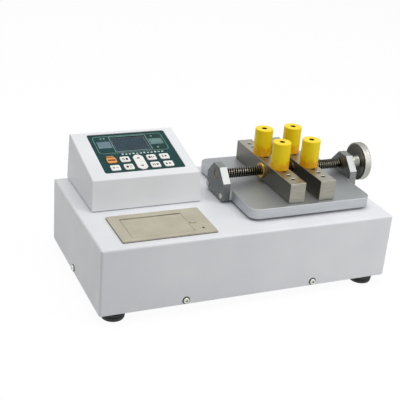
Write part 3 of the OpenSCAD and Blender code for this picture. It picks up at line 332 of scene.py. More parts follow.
def moulded(name, dark, pale, rough=0.5, depth=0.03 * MM):
    """Moulded plastic with a fine spark-eroded texture."""
    s = Surface(name, rough=rough)
    s.colour(s.noise(45, 3), dark, pale)
    s.roughness(s.noise(300), rough - 0.05, rough + 0.06)
    s.relief(s.noise(1400, 2), depth)
    return s.material


def film(name, dark, pale, rough=0.28):
    """Printed polyester film with a slight grain."""
    s = Surface(name, rough=rough, Specular_IOR_Level=0.12)
    s.colour(s.noise(120, 2), dark, pale)
    s.roughness(s.noise(700), rough - 0.05, rough + 0.08)
    s.relief(s.noise(2600, 1), 0.008 * MM)
    return s.material


def cast_rubber(name, dark, pale, rough=0.6):
    """Rubber with a dull, slightly pebbled skin."""
    s = Surface(name, rough=rough)
    s.colour(s.noise(160, 3), dark, pale)
    s.roughness(s.noise(500), rough - 0.08, rough + 0.1)
    s.relief(s.cells(1100), 0.03 * MM)
    return s.material


def cast_urethane(name):
    """Yellow polyurethane, painted deeper and more orange towards the foot of each post as painted shade."""
    s = Surface(name, rough=0.45, Specular_IOR_Level=0.3)
    split = s.nodes.new("ShaderNodeSeparateXYZ")
    s.links.new(s.place, split.inputs[0])
    low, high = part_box("front_left_sleeve")
    # Painted shade: the colour runs darker and more orange towards the foot of each post.
    foot_shade = s.spread(split.outputs["Z"], 0.0, 1.0, low.z - 4 * MM, high.z - 8 * MM)
    cloud = s.spread(s.noise(150, 3), -CLOUDS, CLOUDS)
    total = s.nodes.new("ShaderNodeMath")
    total.operation = "ADD"
    s.links.new(foot_shade, total.inputs[0])
    s.links.new(cloud, total.inputs[1])
    s.colour(total.outputs[0], shade(240, 176, 0), shade(252, 208, 0), shade(255, 224, 10))
    s.roughness(s.noise(260), 0.34, 0.5)
    s.relief(s.noise(700, 3), 0.03 * MM)
    return s.material


def circuit_board(name):
    """Green solder mask with a fine pattern of tracks."""
    s = Surface(name, rough=0.35)
    texture = s.nodes.new("ShaderNodeTexBrick")
    texture.inputs["Scale"].default_value = 260
    texture.inputs["Color1"].default_value = shade(20, 92, 52)
    texture.inputs["Color2"].default_value = shade(26, 108, 60)
    texture.inputs["Mortar"].default_value = shade(12, 70, 40)
    s.links.new(s.place, texture.inputs["Vector"])
    s.links.new(texture.outputs["Color"], s.shader.inputs["Base Color"])
    s.relief(texture.outputs["Fac"], 0.03 * MM)
    return s.material


def clear_lens(name):
    """Thin clear window that tints what lies behind it."""
    s = Surface(name, rough=0.12, Alpha=0.3, Specular_IOR_Level=0.15)
    s.colour(s.noise(60), shade(30, 46, 54), shade(38, 54, 62))
    s.roughness(s.noise(200), 0.08, 0.16)
    return s.material


SCREW_LINE = sum(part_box("lead_screw"), Vector()) / 2
WHEEL_MIDDLE = sum(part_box("handwheel"), Vector()) / 2

MATERIALS = {
    "cover_paint": powder_coat("white_powder_coat", shade(238, 239, 241), shade(229, 231, 234)),
    "console_paint": powder_coat("console_powder_coat", shade(240, 241, 243), shade(232, 234, 236)),
    "zinc_steel": milled("zinc_plate", shade(168, 170, 172), shade(196, 198, 200), 0.34),
    "screw_steel": milled("nickel_plate", shade(184, 184, 180), shade(214, 214, 210), 0.2),
    "foot_rubber": cast_rubber("foot_rubber", shade(22, 22, 25), shade(40, 40, 43)),
    "gasket_foam": cast_rubber("gasket_foam", shade(48, 49, 52), shade(62, 63, 66), 0.75),
    "overlay_film": film("green_film", shade(0, 56, 56), shade(0, 66, 64)),
    "plain_aluminium": milled("plain_aluminium", shade(176, 178, 180), shade(200, 202, 204)),
    "circuit_board": circuit_board("solder_mask"),
    "display_lens": clear_lens("display_lens"),
    "display_panel": film("display_panel", shade(88, 116, 130), shade(100, 128, 142), 0.4),
    "orange_key_film": film("orange_film", shade(232, 158, 84), shade(242, 178, 106)),
    "white_key_film": film("ivory_film", shade(240, 239, 233), shade(248, 248, 244)),
    "battery_wrap": film("battery_wrap", shade(28, 60, 130), shade(36, 72, 148)),
    "black_plastic": moulded("black_plastic", shade(26, 26, 28), shade(38, 38, 40), 0.42),
    "printer_plastic": moulded("printer_plastic", shade(180, 174, 154), shade(192, 186, 165), 0.55),
    "paper": moulded("thermal_paper", shade(236, 236, 230), shade(246, 246, 242), 0.7, 0.01 * MM),
    "platen_rubber": cast_rubber("platen_rubber", shade(34, 34, 35), shade(48, 48, 49), 0.5),
    "dark_metal": milled("black_oxide", shade(58, 58, 60), shade(86, 86, 88), 0.36),
    "lamp_lens": film("lamp_lens", shade(26, 28, 22), shade(38, 40, 30), 0.15),
    "cell_steel": milled("cell_steel", shade(160, 164, 170), shade(190, 194, 200), 0.3),
    "plate_aluminium": brushed("plate_aluminium", shade(174, 177, 180), shade(198, 201, 204), 0.44, 0),
    "support_metal": milled("support_metal", shade(112, 116, 115), shade(144, 147, 145), 0.4),
    "bronze": milled("bronze", shade(112, 100, 82), shade(140, 124, 100), 0.4),
    "lead_screw_steel": milled("lead_screw_steel", shade(118, 114, 104), shade(170, 166, 152), 0.2),
    "wheel_aluminium": turned_metal("wheel_aluminium", shade(146, 146, 140), shade(190, 189, 182), 0.3,
                                    WHEEL_MIDDLE, 0),
    "jaw_steel": brushed("jaw_steel", shade(136, 134, 124), shade(173, 170, 159), 0.33, 0),
    "brass": turned_metal("brass", shade(186, 150, 70), shade(214, 178, 96), 0.24, SCREW_LINE, 0),
    "yellow_urethane": cast_urethane("yellow_urethane"),
}
SLOT_OF = {entry["node"]: entry["material_slot"] for entry in frame["record"]["subparts"]}

for node, slot in SLOT_OF.items():
    NODES[node].data.materials.clear()
    NODES[node].data.materials.append(MATERIALS[slot])

# Painted shade: the posts' pins, and the liners in their bores, take this dark steel so the bores read as
# shaded holes.
BORE_SHADE_STEEL = milled("bore_painted_shade_steel", shade(52, 48, 40), shade(74, 68, 56), 0.4)
for node in SLOT_OF:
    if node.endswith("_pin") and node != "door_hinge_pin":
        NODES[node].data.materials[0] = BORE_SHADE_STEEL

# ---------------------------------------------------------------- building pieces

WELD = 0.002 * MM          # vertices closer than this are one
FLAT_ENOUGH = math.radians(0.6)
SOFTENED_FROM = math.radians(40)
CORNER_STEPS = 6


def body_of(node):
    """The body that a CAD node rides on."""
    return NODES[node]["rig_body"]


def add_piece(name, mesh, body, slot, paint=None, stands_for=()):
    """Puts a mesh in the scene as a piece of the object."""
    piece = bpy.data.objects.new(name, mesh)
    bpy.context.scene.collection.objects.link(piece)
    if paint is not None or not mesh.materials:
        mesh.materials.clear()
        mesh.materials.append(paint or MATERIALS[slot])
    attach(piece, body)
    if stands_for:
        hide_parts(*stands_for)
    return piece


def finished(bm, name, crease=32):
    """Turns a bmesh into a mesh, smooth but for edges sharper than crease degrees."""
    bmesh.ops.recalc_face_normals(bm, faces=bm.faces)
    mesh = bpy.data.meshes.new(name)
    bm.to_mesh(mesh)
    bm.free()
    mesh.shade_smooth()
    mesh.set_sharp_from_angle(angle=math.radians(crease))
    return mesh


def softened(node, width, faced=None):
    """Adds a copy of a CAD node with its outer edges rounded, which stands for the node.

    faced is a test of a face's direction and the material of the faces that pass it."""
    bm = bmesh.new()
    bm.from_mesh(NODES[node].data)
    bmesh.ops.remove_doubles(bm, verts=bm.verts, dist=WELD)
    bmesh.ops.dissolve_limit(bm, angle_limit=FLAT_ENOUGH, verts=bm.verts, edges=bm.edges)
    sharp = [e for e in bm.edges
             if len(e.link_faces) == 2 and e.is_convex and e.calc_face_angle(0) > SOFTENED_FROM]
    bmesh.ops.bevel(bm, geom=sharp, offset=width, offset_type="OFFSET", segments=2, profile=0.5,
                    affect="EDGES", clamp_overlap=False)
    bmesh.ops.triangulate(bm, faces=[f for f in bm.faces if len(f.verts) > 4])
    if faced:
        for face in bm.faces:
            face.material_index = 1 if faced[0](face.normal) else 0
    mesh = finished(bm, node + "_soft", 50)
    mesh.materials.append(NODES[node].data.materials[0])
    if faced:
        mesh.materials.append(faced[1])
    piece = add_piece(node + "_soft", mesh, body_of(node), SLOT_OF[node], stands_for=(node,))
    level = piece.modifiers.new("level_faces", "WEIGHTED_NORMAL")
    level.keep_sharp, level.weight = True, 100


def turned(bm, profile, steps, place, closed=False, ripple=None):
    """Adds a profile of (radius, height) points turned round the local Z axis of place."""
    rings = []
    for radius, height in profile:
        if radius <= 0:
            rings.append([bm.verts.new(place @ Vector((0, 0, height)))])
            continue
        ring = []
        for i in range(steps):
            angle = math.tau * i / steps
            r = radius + (ripple(angle, height, radius) if ripple else 0)
            ring.append(bm.verts.new(place @ Vector((r * math.cos(angle), r * math.sin(angle), height))))
        rings.append(ring)
    pairs = list(zip(rings, rings[1:])) + ([(rings[-1], rings[0])] if closed else [])
    for a, b in pairs:
        for i in range(steps):
            j = (i + 1) % steps
            corners = [a[i % len(a)], a[j % len(a)], b[j % len(b)], b[i % len(b)]]
            corners = [v for k, v in enumerate(corners) if v not in corners[:k]]
            if len(corners) > 2:
                bm.faces.new(corners)


def along(direction, origin):
    """Placement whose local Z axis points along direction from origin."""
    turn = Vector(direction).to_track_quat("Z", "Y").to_matrix().to_4x4()
    return Matrix.Translation(Vector(origin)) @ turn


def slab(bm, outline, low, high, place):
    """Adds a flat plate with the given outline, from low to high along the local Z axis."""
    bottom = [bm.verts.new(place @ Vector((x, y, low))) for x, y in outline]
    top = [bm.verts.new(place @ Vector((x, y, high))) for x, y in outline]
    bm.faces.new(top)
    bm.faces.new(list(reversed(bottom)))
    for i in range(len(outline)):
        j = (i + 1) % len(outline)
        bm.faces.new((bottom[i], bottom[j], top[j], top[i]))


def round_outline(x0, y0, x1, y1, r):
    """Rectangle with round corners, anticlockwise."""
    corners = [(x1 - r, y0 + r, -90), (x1 - r, y1 - r, 0), (x0 + r, y1 - r, 90), (x0 + r, y0 + r, 180)]
    turns = [(x, y, math.radians(a + 90 * k / CORNER_STEPS)) for x, y, a in corners
             for k in range(CORNER_STEPS + 1)]
    return [(x + r * math.cos(a), y + r * math.sin(a)) for x, y, a in turns]


def bar(x0, y0, x1, y1):
    """Corners of a bar."""
    return [(x0, y0), (x1, y0), (x1, y1), (x0, y1)]


def cut_outline(x0, y0, x1, y1, c):
    """Rectangle with its corners cut off, anticlockwise."""
    return [(x0 + c, y0), (x1 - c, y0), (x1, y0 + c), (x1, y1 - c),
            (x1 - c, y1), (x0 + c, y1), (x0, y1 - c), (x0, y0 + c)]


def closed_line(bm, outer, inner, low, high, place):
    """Adds a raised line between two closed outlines that have the same number of points."""
    layers = [[bm.verts.new(place @ Vector((x, y, z))) for x, y in line]
              for line, z in ((outer, low), (outer, high), (inner, high), (inner, low))]
    for a, b in zip(layers, layers[1:] + layers[:1]):
        for i in range(len(outer)):
            j = (i + 1) % len(outer)
            bm.faces.new((a[i], a[j], b[j], b[i]))


def frame_line(bm, x0, y0, x1, y1, r, width, low, high, place):
    """Adds a line of the given width along a round-cornered rectangle."""
    outer = round_outline(x0, y0, x1, y1, r)
    inner = round_outline(x0 + width, y0 + width, x1 - width, y1 - width, max(r - width, width / 4))
    closed_line(bm, outer, inner, low, high, place)


# ---------------------------------------------------------------- lead screw and handwheel

THREAD_PITCH, THREAD_DEPTH, THREAD_STEPS = 3 * MM, 1.5 * MM, 32
SHOULDER_GAP = 1.65 * MM                    # from the screw's shoulders to the supports
RIM_RADIUS = (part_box("handwheel")[1].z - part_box("handwheel")[0].z) / 2
KNURL_DEPTH, KNURL_PITCH, KNURL_ROWS = 0.34 * MM, 1.5 * MM, 96


def threaded(bm, radius, start, end, hand, line):
    """Adds a helical ridge from start to end along X, right-handed for hand 1 and left-handed for -1."""
    foot, crest, sunk = 0.42 * THREAD_PITCH, 0.07 * THREAD_PITCH, 0.15 * MM
    count = int((end - start - 2 * foot) / THREAD_PITCH * THREAD_STEPS)
    last = None
    for k in range(count + 1):
        angle = hand * math.tau * k / THREAD_STEPS
        rise = max(min(1, 2 * k / THREAD_STEPS, 2 * (count - k) / THREAD_STEPS), 0.02)
        root = radius - THREAD_DEPTH
        x = start + foot + k / THREAD_STEPS * THREAD_PITCH
        section = [bm.verts.new((x + dx, line.y + r * math.cos(angle), line.z + r * math.sin(angle)))
                   for dx, r in ((-foot, root - sunk), (-crest, root + rise * THREAD_DEPTH),
                                 (crest, root + rise * THREAD_DEPTH), (foot, root - sunk))]
        if last is None or k == count:
            bm.faces.new(section)
        if last is not None:
            for i in range(4):
                j = (i + 1) % 4
                bm.faces.new((last[i], last[j], section[j], section[i]))
        last = section


def make_lead_screw():
    """Screw with a right-hand and a left-hand thread, a plain middle and two turned journals."""
    low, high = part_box("lead_screw")
    radius = (high.z - low.z) / 2
    plain, relief, journal = 4 * MM, 1.5 * MM, 4 * MM
    middle = (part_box("left_jaw")[1].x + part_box("right_jaw")[0].x) / 2
    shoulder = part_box("right_support")[0].x - middle - SHOULDER_GAP
    line = Vector((middle, SCREW_LINE.y, SCREW_LINE.z))
    place = along((1, 0, 0), (middle, line.y, line.z))
    bm = bmesh.new()
    threaded(bm, radius, middle + plain, middle + shoulder - relief, 1, line)
    threaded(bm, radius, middle - shoulder + relief, middle - plain, -1, line)
    core = radius - THREAD_DEPTH
    edge = 0.5 * MM
    turned(bm, [(0, low.x - middle), (journal - edge, low.x - middle), (journal, low.x - middle + edge),
                (journal, -shoulder), (radius - edge, -shoulder), (radius, -shoulder + edge),
                (radius, -shoulder + relief), (core, -shoulder + relief + edge),
                (core, -plain - edge), (radius - edge, -plain), (radius - edge, plain), (core, plain + edge),
                (core, shoulder - relief - edge), (radius, shoulder - relief), (radius, shoulder - edge),
                (radius - edge, shoulder), (journal, shoulder), (journal, high.x - middle - edge),
                (journal - edge, high.x - middle), (0, high.x - middle)], 48, place)
    # Painted shade: the core's faces between the thread's turns take a far darker steel.
    for face in bm.faces:
        reach = [math.hypot(v.co.y - line.y, v.co.z - line.z) for v in face.verts]
        root_shade = len(reach) == 4 and min(reach) < core + 0.3 * MM and max(reach) > journal
        face.material_index = 1 if root_shade else 0
    mesh = finished(bm, "threaded_screw", 28)
    mesh.materials.append(MATERIALS["lead_screw_steel"])
    mesh.materials.append(milled("thread_root_painted_shade", shade(34, 30, 24), shade(54, 50, 42), 0.3))
    add_piece("threaded_screw", mesh, "lead_screw", "lead_screw_steel", stands_for=("lead_screw",))


def knurl(angle, height, radius):
    """Change of radius that a diamond knurl makes at a point of the handwheel's rim."""
    if radius < RIM_RADIUS - 0.05 * MM:
        return 0
    turn, lean = KNURL_ROWS * angle / 2, math.tau / KNURL_PITCH * height / 2
    cross = abs(math.sin(turn + lean)) * abs(math.sin(turn - lean))
    return -KNURL_DEPTH * (1 - cross)


def make_handwheel():
    """Dished wheel with a knurled rim and a hub."""
    low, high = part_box("handwheel")
    bore, hub, edge, rim = 4.02 * MM, 7 * MM, 1 * MM, RIM_RADIUS
    thick, dish_foot, rim_rows = 9 * MM, 9 * MM, 26
    front = high.x - thick - low.x
    back = front + thick
    profile = [(bore, 0), (hub - 0.4 * MM, 0), (hub, 0.4 * MM), (hub, front + 1.4 * MM),
               (hub + 0.5 * MM, front + 2 * MM), (dish_foot, front + 2 * MM),
               (20.4 * MM, front + 0.15 * MM), (21 * MM, front),
               (rim - edge, front), (rim - 0.4 * edge, front + 0.25 * edge)]
    profile += [(rim, front + edge + (thick - 2 * edge) * i / rim_rows) for i in range(rim_rows + 1)]
    profile += [(rim - 0.4 * edge, back - 0.25 * edge), (rim - edge, back), (19 * MM, back),
                (18.4 * MM, back - 0.1 * MM), (dish_foot, back - 1 * MM),
                (bore + 0.5 * MM, back - 1 * MM), (bore, back - 1.5 * MM)]
    bm = bmesh.new()
    turned(bm, profile, 4 * KNURL_ROWS, along((1, 0, 0), (low.x, SCREW_LINE.y, SCREW_LINE.z)),
           closed=True, ripple=knurl)
    # Painted dark reflection: the dish between hub and rim takes a darker copy of the wheel's metal.
    for face in bm.faces:
        across = face.calc_center_median() - SCREW_LINE
        across.x = 0
        face.material_index = 1 if hub + 0.4 * MM < across.length < rim - 0.9 * edge else 0
    mesh = finished(bm, "knurled_wheel", 40)
    mesh.materials.append(MATERIALS["wheel_aluminium"])
    mesh.materials.append(turned_metal("wheel_dish_dark_reflection", shade(70, 71, 68), shade(128, 128, 120), 0.3,
                                       WHEEL_MIDDLE, 0))
    add_piece("knurled_wheel", mesh, "lead_screw", "wheel_aluminium", stands_for=("handwheel",))


make_lead_screw()
make_handwheel()

# ---------------------------------------------------------------- cabinet screws and feet


def cut(target, tool, name):
    """Mesh of target with tool cut out of it."""
    objects = []
    for bm, label in ((target, "target"), (tool, "tool")):
        bmesh.ops.recalc_face_normals(bm, faces=bm.faces)
        mesh = bpy.data.meshes.new(name + label)
        bm.to_mesh(mesh)
        bm.free()
        piece = bpy.data.objects.new(name + label, mesh)
        bpy.context.scene.collection.objects.link(piece)
        objects.append(piece)
    base, cutter = objects
    change = base.modifiers.new("cut", "BOOLEAN")
    change.operation, change.solver, change.object = "DIFFERENCE", "EXACT", cutter
    change.use_self = True
    bpy.context.view_layer.update()
    result = bpy.data.meshes.new_from_object(base.evaluated_get(bpy.context.evaluated_depsgraph_get()))
    for piece in objects:
        bpy.data.objects.remove(piece)
    return result


def pan_head_mesh(width, tall, long, shank):
    """Screw with a domed head, a washer under it, a cross recess and a shank, with the head at +Z.

    The faces of the washer and the recess take the second, darker material; on the faces of the recess it is
    painted shade."""
    collar, r = 0.55 * MM, width / 2
    dome = 3.5 * MM
    head = bmesh.new()
    turned(head, [(0, -long), (shank - 0.4 * MM, -long), (shank, 0.4 * MM - long), (shank, 0), (r, 0),
                  (r, collar * 0.6), (r - 0.15 * MM, collar * 0.9), (r - 0.4 * MM, collar),
                  (dome + 0.1 * MM, collar + 0.05 * MM), (dome, collar + 0.3 * MM), (dome * 0.97, tall * 0.62),
                  (dome * 0.86, tall * 0.84), (dome * 0.62, tall * 0.96), (dome * 0.3, tall * 0.995),
                  (0, tall)], 40, Matrix())
    cross = bmesh.new()
    arm, blade, above, deep = 2.1 * MM, 0.48 * MM, 1 * MM, 1.5 * MM
    levels = ((arm, blade, tall + above), (arm * 0.55, blade * 0.8, tall - deep))
    for turn in (0, 90):
        place = Matrix.Rotation(math.radians(turn), 4, "Z")
        v = [cross.verts.new(place @ Vector((x, y, z))) for half_x, half_y, z in levels
             for x, y in bar(-half_x, -half_y, half_x, half_y)]
        for face in ((3, 2, 1, 0), (4, 5, 6, 7), (0, 1, 5, 4), (1, 2, 6, 5), (2, 3, 7, 6), (3, 0, 4, 7)):
            cross.faces.new([v[i] for i in face])
    mesh = cut(head, cross, "pan_head")
    for face in mesh.polygons:
        out = math.hypot(face.center.x, face.center.y)
        washer = face.center.z > 0 and out > dome * 0.985
        # Painted shade: the faces inside the cross recess take the dark material.
        recess = 0.5 * MM < face.center.z < tall - 0.1 * MM and out < 2.2 * MM
        face.material_index = 1 if washer or recess else 0
    return mesh


def islands(node):
    """The separate solids of a CAD node, each as its (lowest corner, highest corner)."""
    bm = bmesh.new()
    bm.from_mesh(NODES[node].data)
    bmesh.ops.remove_doubles(bm, verts=bm.verts, dist=WELD)
    left, boxes = set(bm.verts), []
    while left:
        queue, group = [left.pop()], []
        while queue:
            v = queue.pop()
            group.append(v.co.copy())
            for e in v.link_edges:
                w = e.other_vert(v)
                if w in left:
                    left.remove(w)
                    queue.append(w)
        boxes.append((Vector([min(c[i] for c in group) for i in range(3)]),
                      Vector([max(c[i] for c in group) for i in range(3)])))
    bm.free()
    return sorted(boxes, key=lambda b: tuple(round(x, 4) for x in b[0]))


def make_housing_screws():
    """Ten cross-recessed screws, each turned a little differently."""
    shank_length, head_width, head_height = 8 * MM, 9 * MM, 2.4 * MM
    pattern = pan_head_mesh(head_width, head_height, shank_length, 2 * MM)
    cover_low, cover_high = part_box("base_cover")
    bm = bmesh.new()
    for i, (low, high) in enumerate(islands("housing_screws")):
        middle, size = (low + high) / 2, high - low
        axis = min(range(3), key=lambda k: abs(size[k] - (shank_length + head_height)))
        outward = Vector((0, 0, 0))
        if axis == 2:
            outward[2] = -1
            seat = low.z + head_height
        else:
            outward[axis] = 1 if middle[axis] > 0 else -1
            seat = cover_high[axis] if outward[axis] > 0 else cover_low[axis]
        origin = middle.copy()
        origin[axis] = seat
        start = len(bm.verts)
        bm.from_mesh(pattern)
        bm.verts.ensure_lookup_table()
        spin = Matrix.Rotation(math.radians(17 + 53 * i), 4, "Z")
        bmesh.ops.transform(bm, matrix=along(outward, origin) @ spin, verts=bm.verts[start:])
    bpy.data.meshes.remove(pattern)
    mesh = finished(bm, "cross_head_screws", 30)
    mesh.materials.append(milled("polished_head", shade(196, 196, 190), shade(226, 226, 220), 0.18))
    mesh.materials.append(milled("dark_washer_and_recess_shade", shade(56, 54, 50), shade(84, 82, 76), 0.34))
    add_piece("cross_head_screws", mesh, "base", "screw_steel", stands_for=("housing_screws",))


def make_feet():
    """Tapered rubber feet with two grooves and a lip at the table."""
    recess, recess_top, bore = 6.5 * MM, 5 * MM, 2.7 * MM
    lower, sunk = 13 * MM, 0.8 * MM
    bm = bmesh.new()
    for low, high in islands("rubber_feet"):
        middle, tall = (low + high) / 2, high.z - low.z
        upper = (high.x - low.x) / 2
        profile = [(recess, 0), (lower - 1.2 * MM, 0), (lower - 0.35 * MM, 0.3 * MM)]
        walls = ((-0.05, 0), (-0.03, sunk), (0.03, sunk), (0.05, 0))
        for share, inward in [(0.1, 0)] + [(groove + shift, cut_in) for groove in (0.38, 0.68)
                                           for shift, cut_in in walls]:
            profile.append((lower + (upper - lower) * share - inward, share * tall))
        profile += [(upper - 0.1 * MM, tall - 0.8 * MM), (upper - 0.6 * MM, tall), (bore, tall),
                    (bore, recess_top), (recess, recess_top)]
        turned(bm, profile, 56, Matrix.Translation((middle.x, middle.y, low.z)), closed=True)
    add_piece("grooved_feet", finished(bm, "grooved_feet", 30), "base", "foot_rubber",
              stands_for=("rubber_feet",))


make_housing_screws()
make_feet()

# ---------------------------------------------------------------- painted shadow at the bezel, painted shade in the post bores


def make_bezel_painted_shadow():
    """Thin dark line round the foot of the printer's bezel, a painted shadow in the gap between bezel and
    cabinet.
    """
    low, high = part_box("printer_frame")
    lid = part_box("base_cover")[1].z
    shows = 0.3 * MM
    bm = bmesh.new()
    frame_line(bm, low.x - shows, low.y - shows, high.x + shows, high.y + shows, 1.5 * MM, 0.8 * MM,
               lid + 0.02 * MM, lid + 0.5 * MM, Matrix())
    add_piece("bezel_painted_shadow", finished(bm, "bezel_painted_shadow"), "base", "gasket_foam")


def make_bore_shade_liners():
    """Dark steel bush in the upper end of each post's bore, a dark sleeve that is painted shade in the bore.
    """
    wall, edge = 0.6 * MM, 0.15 * MM
    for post in ("front_left", "front_right", "back_left", "back_right"):
        low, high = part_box(post + "_pin")
        middle, radius = (low + high) / 2, (high.x - low.x) / 2
        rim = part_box(post + "_sleeve")[1].z - 0.3 * MM
        bm = bmesh.new()
        turned(bm, [(radius - wall, high.z), (radius, high.z), (radius, rim - edge), (radius - edge, rim),
                    (radius - wall + edge, rim), (radius - wall, rim - edge)], 40,
               Matrix.Translation((middle.x, middle.y, 0)), closed=True)
        add_piece(post + "_bore_shade_liner", finished(bm, "bore_shade_liner"), body_of(post + "_pin"), "screw_steel",
                  paint=BORE_SHADE_STEEL)


make_bezel_painted_shadow()
make_bore_shade_liners()

# ---------------------------------------------------------------- softened solids

# Painted shade: the jaws' faces that look along X take a darker copy of the jaw metal.
JAW_SIDE_SHADE = brushed("jaw_side_painted_shade", shade(98, 97, 90), shade(128, 126, 117), 0.42, 1)
# Painted shade: the plate's top faces take a darker copy of the plate metal than its sides, with a scattered
# grain.
PLATE_TOP_SHADE = milled("plate_top_painted_shade", shade(150, 153, 155), shade(170, 173, 175), 0.5)
# Painted highlight: the supports' bevels that face forward or back and up take a lighter copy of the support
# metal.
BEVEL_HIGHLIGHT = brushed("bevel_painted_highlight", shade(150, 153, 150), shade(176, 179, 176), 0.46, 0)

softened("clamp_plate", 0.5 * MM, faced=(lambda way: way.z > 0.9, PLATE_TOP_SHADE))
for side in ("left", "right"):
    softened(side + "_jaw", 0.3 * MM, faced=(lambda way: abs(way.x) > 0.9, JAW_SIDE_SHADE))
    softened(side + "_support", 0.35 * MM,
             faced=(lambda way: abs(way.y) > 0.3 and way.z > 0.3, BEVEL_HIGHLIGHT))
for node, width in (
    ("printer_frame", 0.25), ("printer_door", 0.25), ("left_jaw_nut", 0.3), ("right_jaw_nut", 0.3),
    ("support_screws", 0.25), ("switch_frame", 0.3), ("switch_rocker", 0.3), ("power_socket", 0.2),
    ("data_socket", 0.1), ("data_screws", 0.25),
):
    softened(node, width * MM)
for node in SLOT_OF:
    if node.endswith("_key") or "_key_" in node:
        softened(node, 0.22 * MM)

# ---------------------------------------------------------------- keypad print and painted shadows

KEYPAD_CORNER = Vector((-149.175, 8.555, 130.713)) * MM    # the film's front left corner, at key height
SLOPE = math.radians(11.6)
FILM_TOP, KEY_TOP, INK = -0.7 * MM, 0.2 * MM, 0.03 * MM     # heights over that corner, and an ink's thickness
ON_KEYPAD = Matrix.Translation(KEYPAD_CORNER) @ Matrix.Rotation(SLOPE, 4, "X")

INKS = {
    "pale_ink": film("pale_ink", shade(142, 176, 170), shade(160, 190, 184)),
    "mark_ink": film("mark_ink", shade(196, 214, 208), shade(214, 228, 222)),
    "grey_ink": film("grey_ink", shade(102, 132, 130), shade(116, 146, 142)),
    "blue_grey_ink": film("blue_grey_ink", shade(104, 126, 138), shade(116, 138, 148)),
    # Dark ink for the keys' signs; the same material also paints the shadows round the film and round the
    # keys.
    "dark_ink_and_shadow": film("dark_ink_and_shadow", shade(14, 16, 16), shade(24, 26, 26)),
    "deep_green_ink": film("deep_green_ink", shade(8, 48, 44), shade(12, 56, 50)),
    "orange_ink": film("orange_ink", shade(214, 140, 66), shade(226, 152, 76)),
    "red_ink": film("red_ink", shade(128, 44, 18), shade(142, 54, 24)),
}


def printed(name, ink, body, draw, level=FILM_TOP):
    """Adds a thin layer of ink, or of painted shadow, at a level of the keypad; draw fills it, in millimetres
    along the face.
    """
    bm = bmesh.new()
    draw(bm, ON_KEYPAD @ Matrix.Translation((0, 0, level)) @ Matrix.Diagonal((MM, MM, 1, 1)))
    slot = "overlay_film" if level == FILM_TOP else "white_key_film"
    add_piece(name, finished(bm, name), body, slot, paint=INKS[ink])


def draw_frames(bm, place):
    """Outline of the display, and a wider one that takes in the two side panels."""
    frame_line(bm, 5.5, 40.8, 92.6, 78.0, 5, 0.45, 0, INK, place)
    frame_line(bm, 25.6, 43.2, 72.2, 76.2, 1, 0.6, 0, INK, place)


def draw_left_panel(bm, place):
    """Panel on the display's left."""
    slab(bm, round_outline(8.2, 52.5, 24.4, 66.5, 0.8), 0, INK, place)


def draw_right_panel(bm, place):
    """Panel on the display's right."""
    slab(bm, round_outline(73.6, 54.2, 89.8, 66.2, 0.8), 0, INK, place)


def draw_recess_shadow(bm, place):
    """Dark line round the film, broad along the top: a painted shadow of the recess that holds the film."""
    frame_line(bm, 0.5, 0.5, 98.0, 81.9, 2.6, 0.35, 0, INK * 0.8, place)
    slab(bm, bar(2.6, 80.7, 95.9, 81.9), 0, INK, place)


def draw_marks(bm, place):
    """Row of marks under the display, every third one taller, and four small index marks."""
    for i in range(12):
        tall = 2.8 if i % 3 == 0 else 2.0
        slab(bm, bar(31 + 4.5 * i, 36.1, 33.3 + 4.5 * i, 36.1 + tall), 0, INK, place)
    for x, y in ((79, 72), (80, 47.2), (15.5, 73.2), (19.5, 73.2)):
        slab(bm, round_outline(x - 1, y - 0.7, x + 1, y + 0.7, 0.5), 0, INK, place)


def draw_deep(bm, place):
    """Darker fields that hold the index marks on the right."""
    slab(bm, round_outline(73.6, 67.6, 90.6, 75.2, 0.8), 0, INK * 0.6, place)
    slab(bm, round_outline(73.6, 43.4, 89.2, 51.6, 0.8), 0, INK * 0.6, place)


def draw_label(bm, place):
    """Orange bar over the orange key."""
    slab(bm, bar(10.8, 33.7, 19.8, 35.7), 0, INK, place)


printed("display_outlines", "pale_ink", "base", draw_frames)
printed("left_panel", "blue_grey_ink", "base", draw_left_panel)
printed("right_panel", "grey_ink", "base", draw_right_panel)
printed("film_recess_shadow", "dark_ink_and_shadow", "base", draw_recess_shadow)
printed("index_fields", "deep_green_ink", "base", draw_deep)
printed("index_marks", "mark_ink", "base", draw_marks)
printed("orange_label", "orange_ink", "base", draw_label)

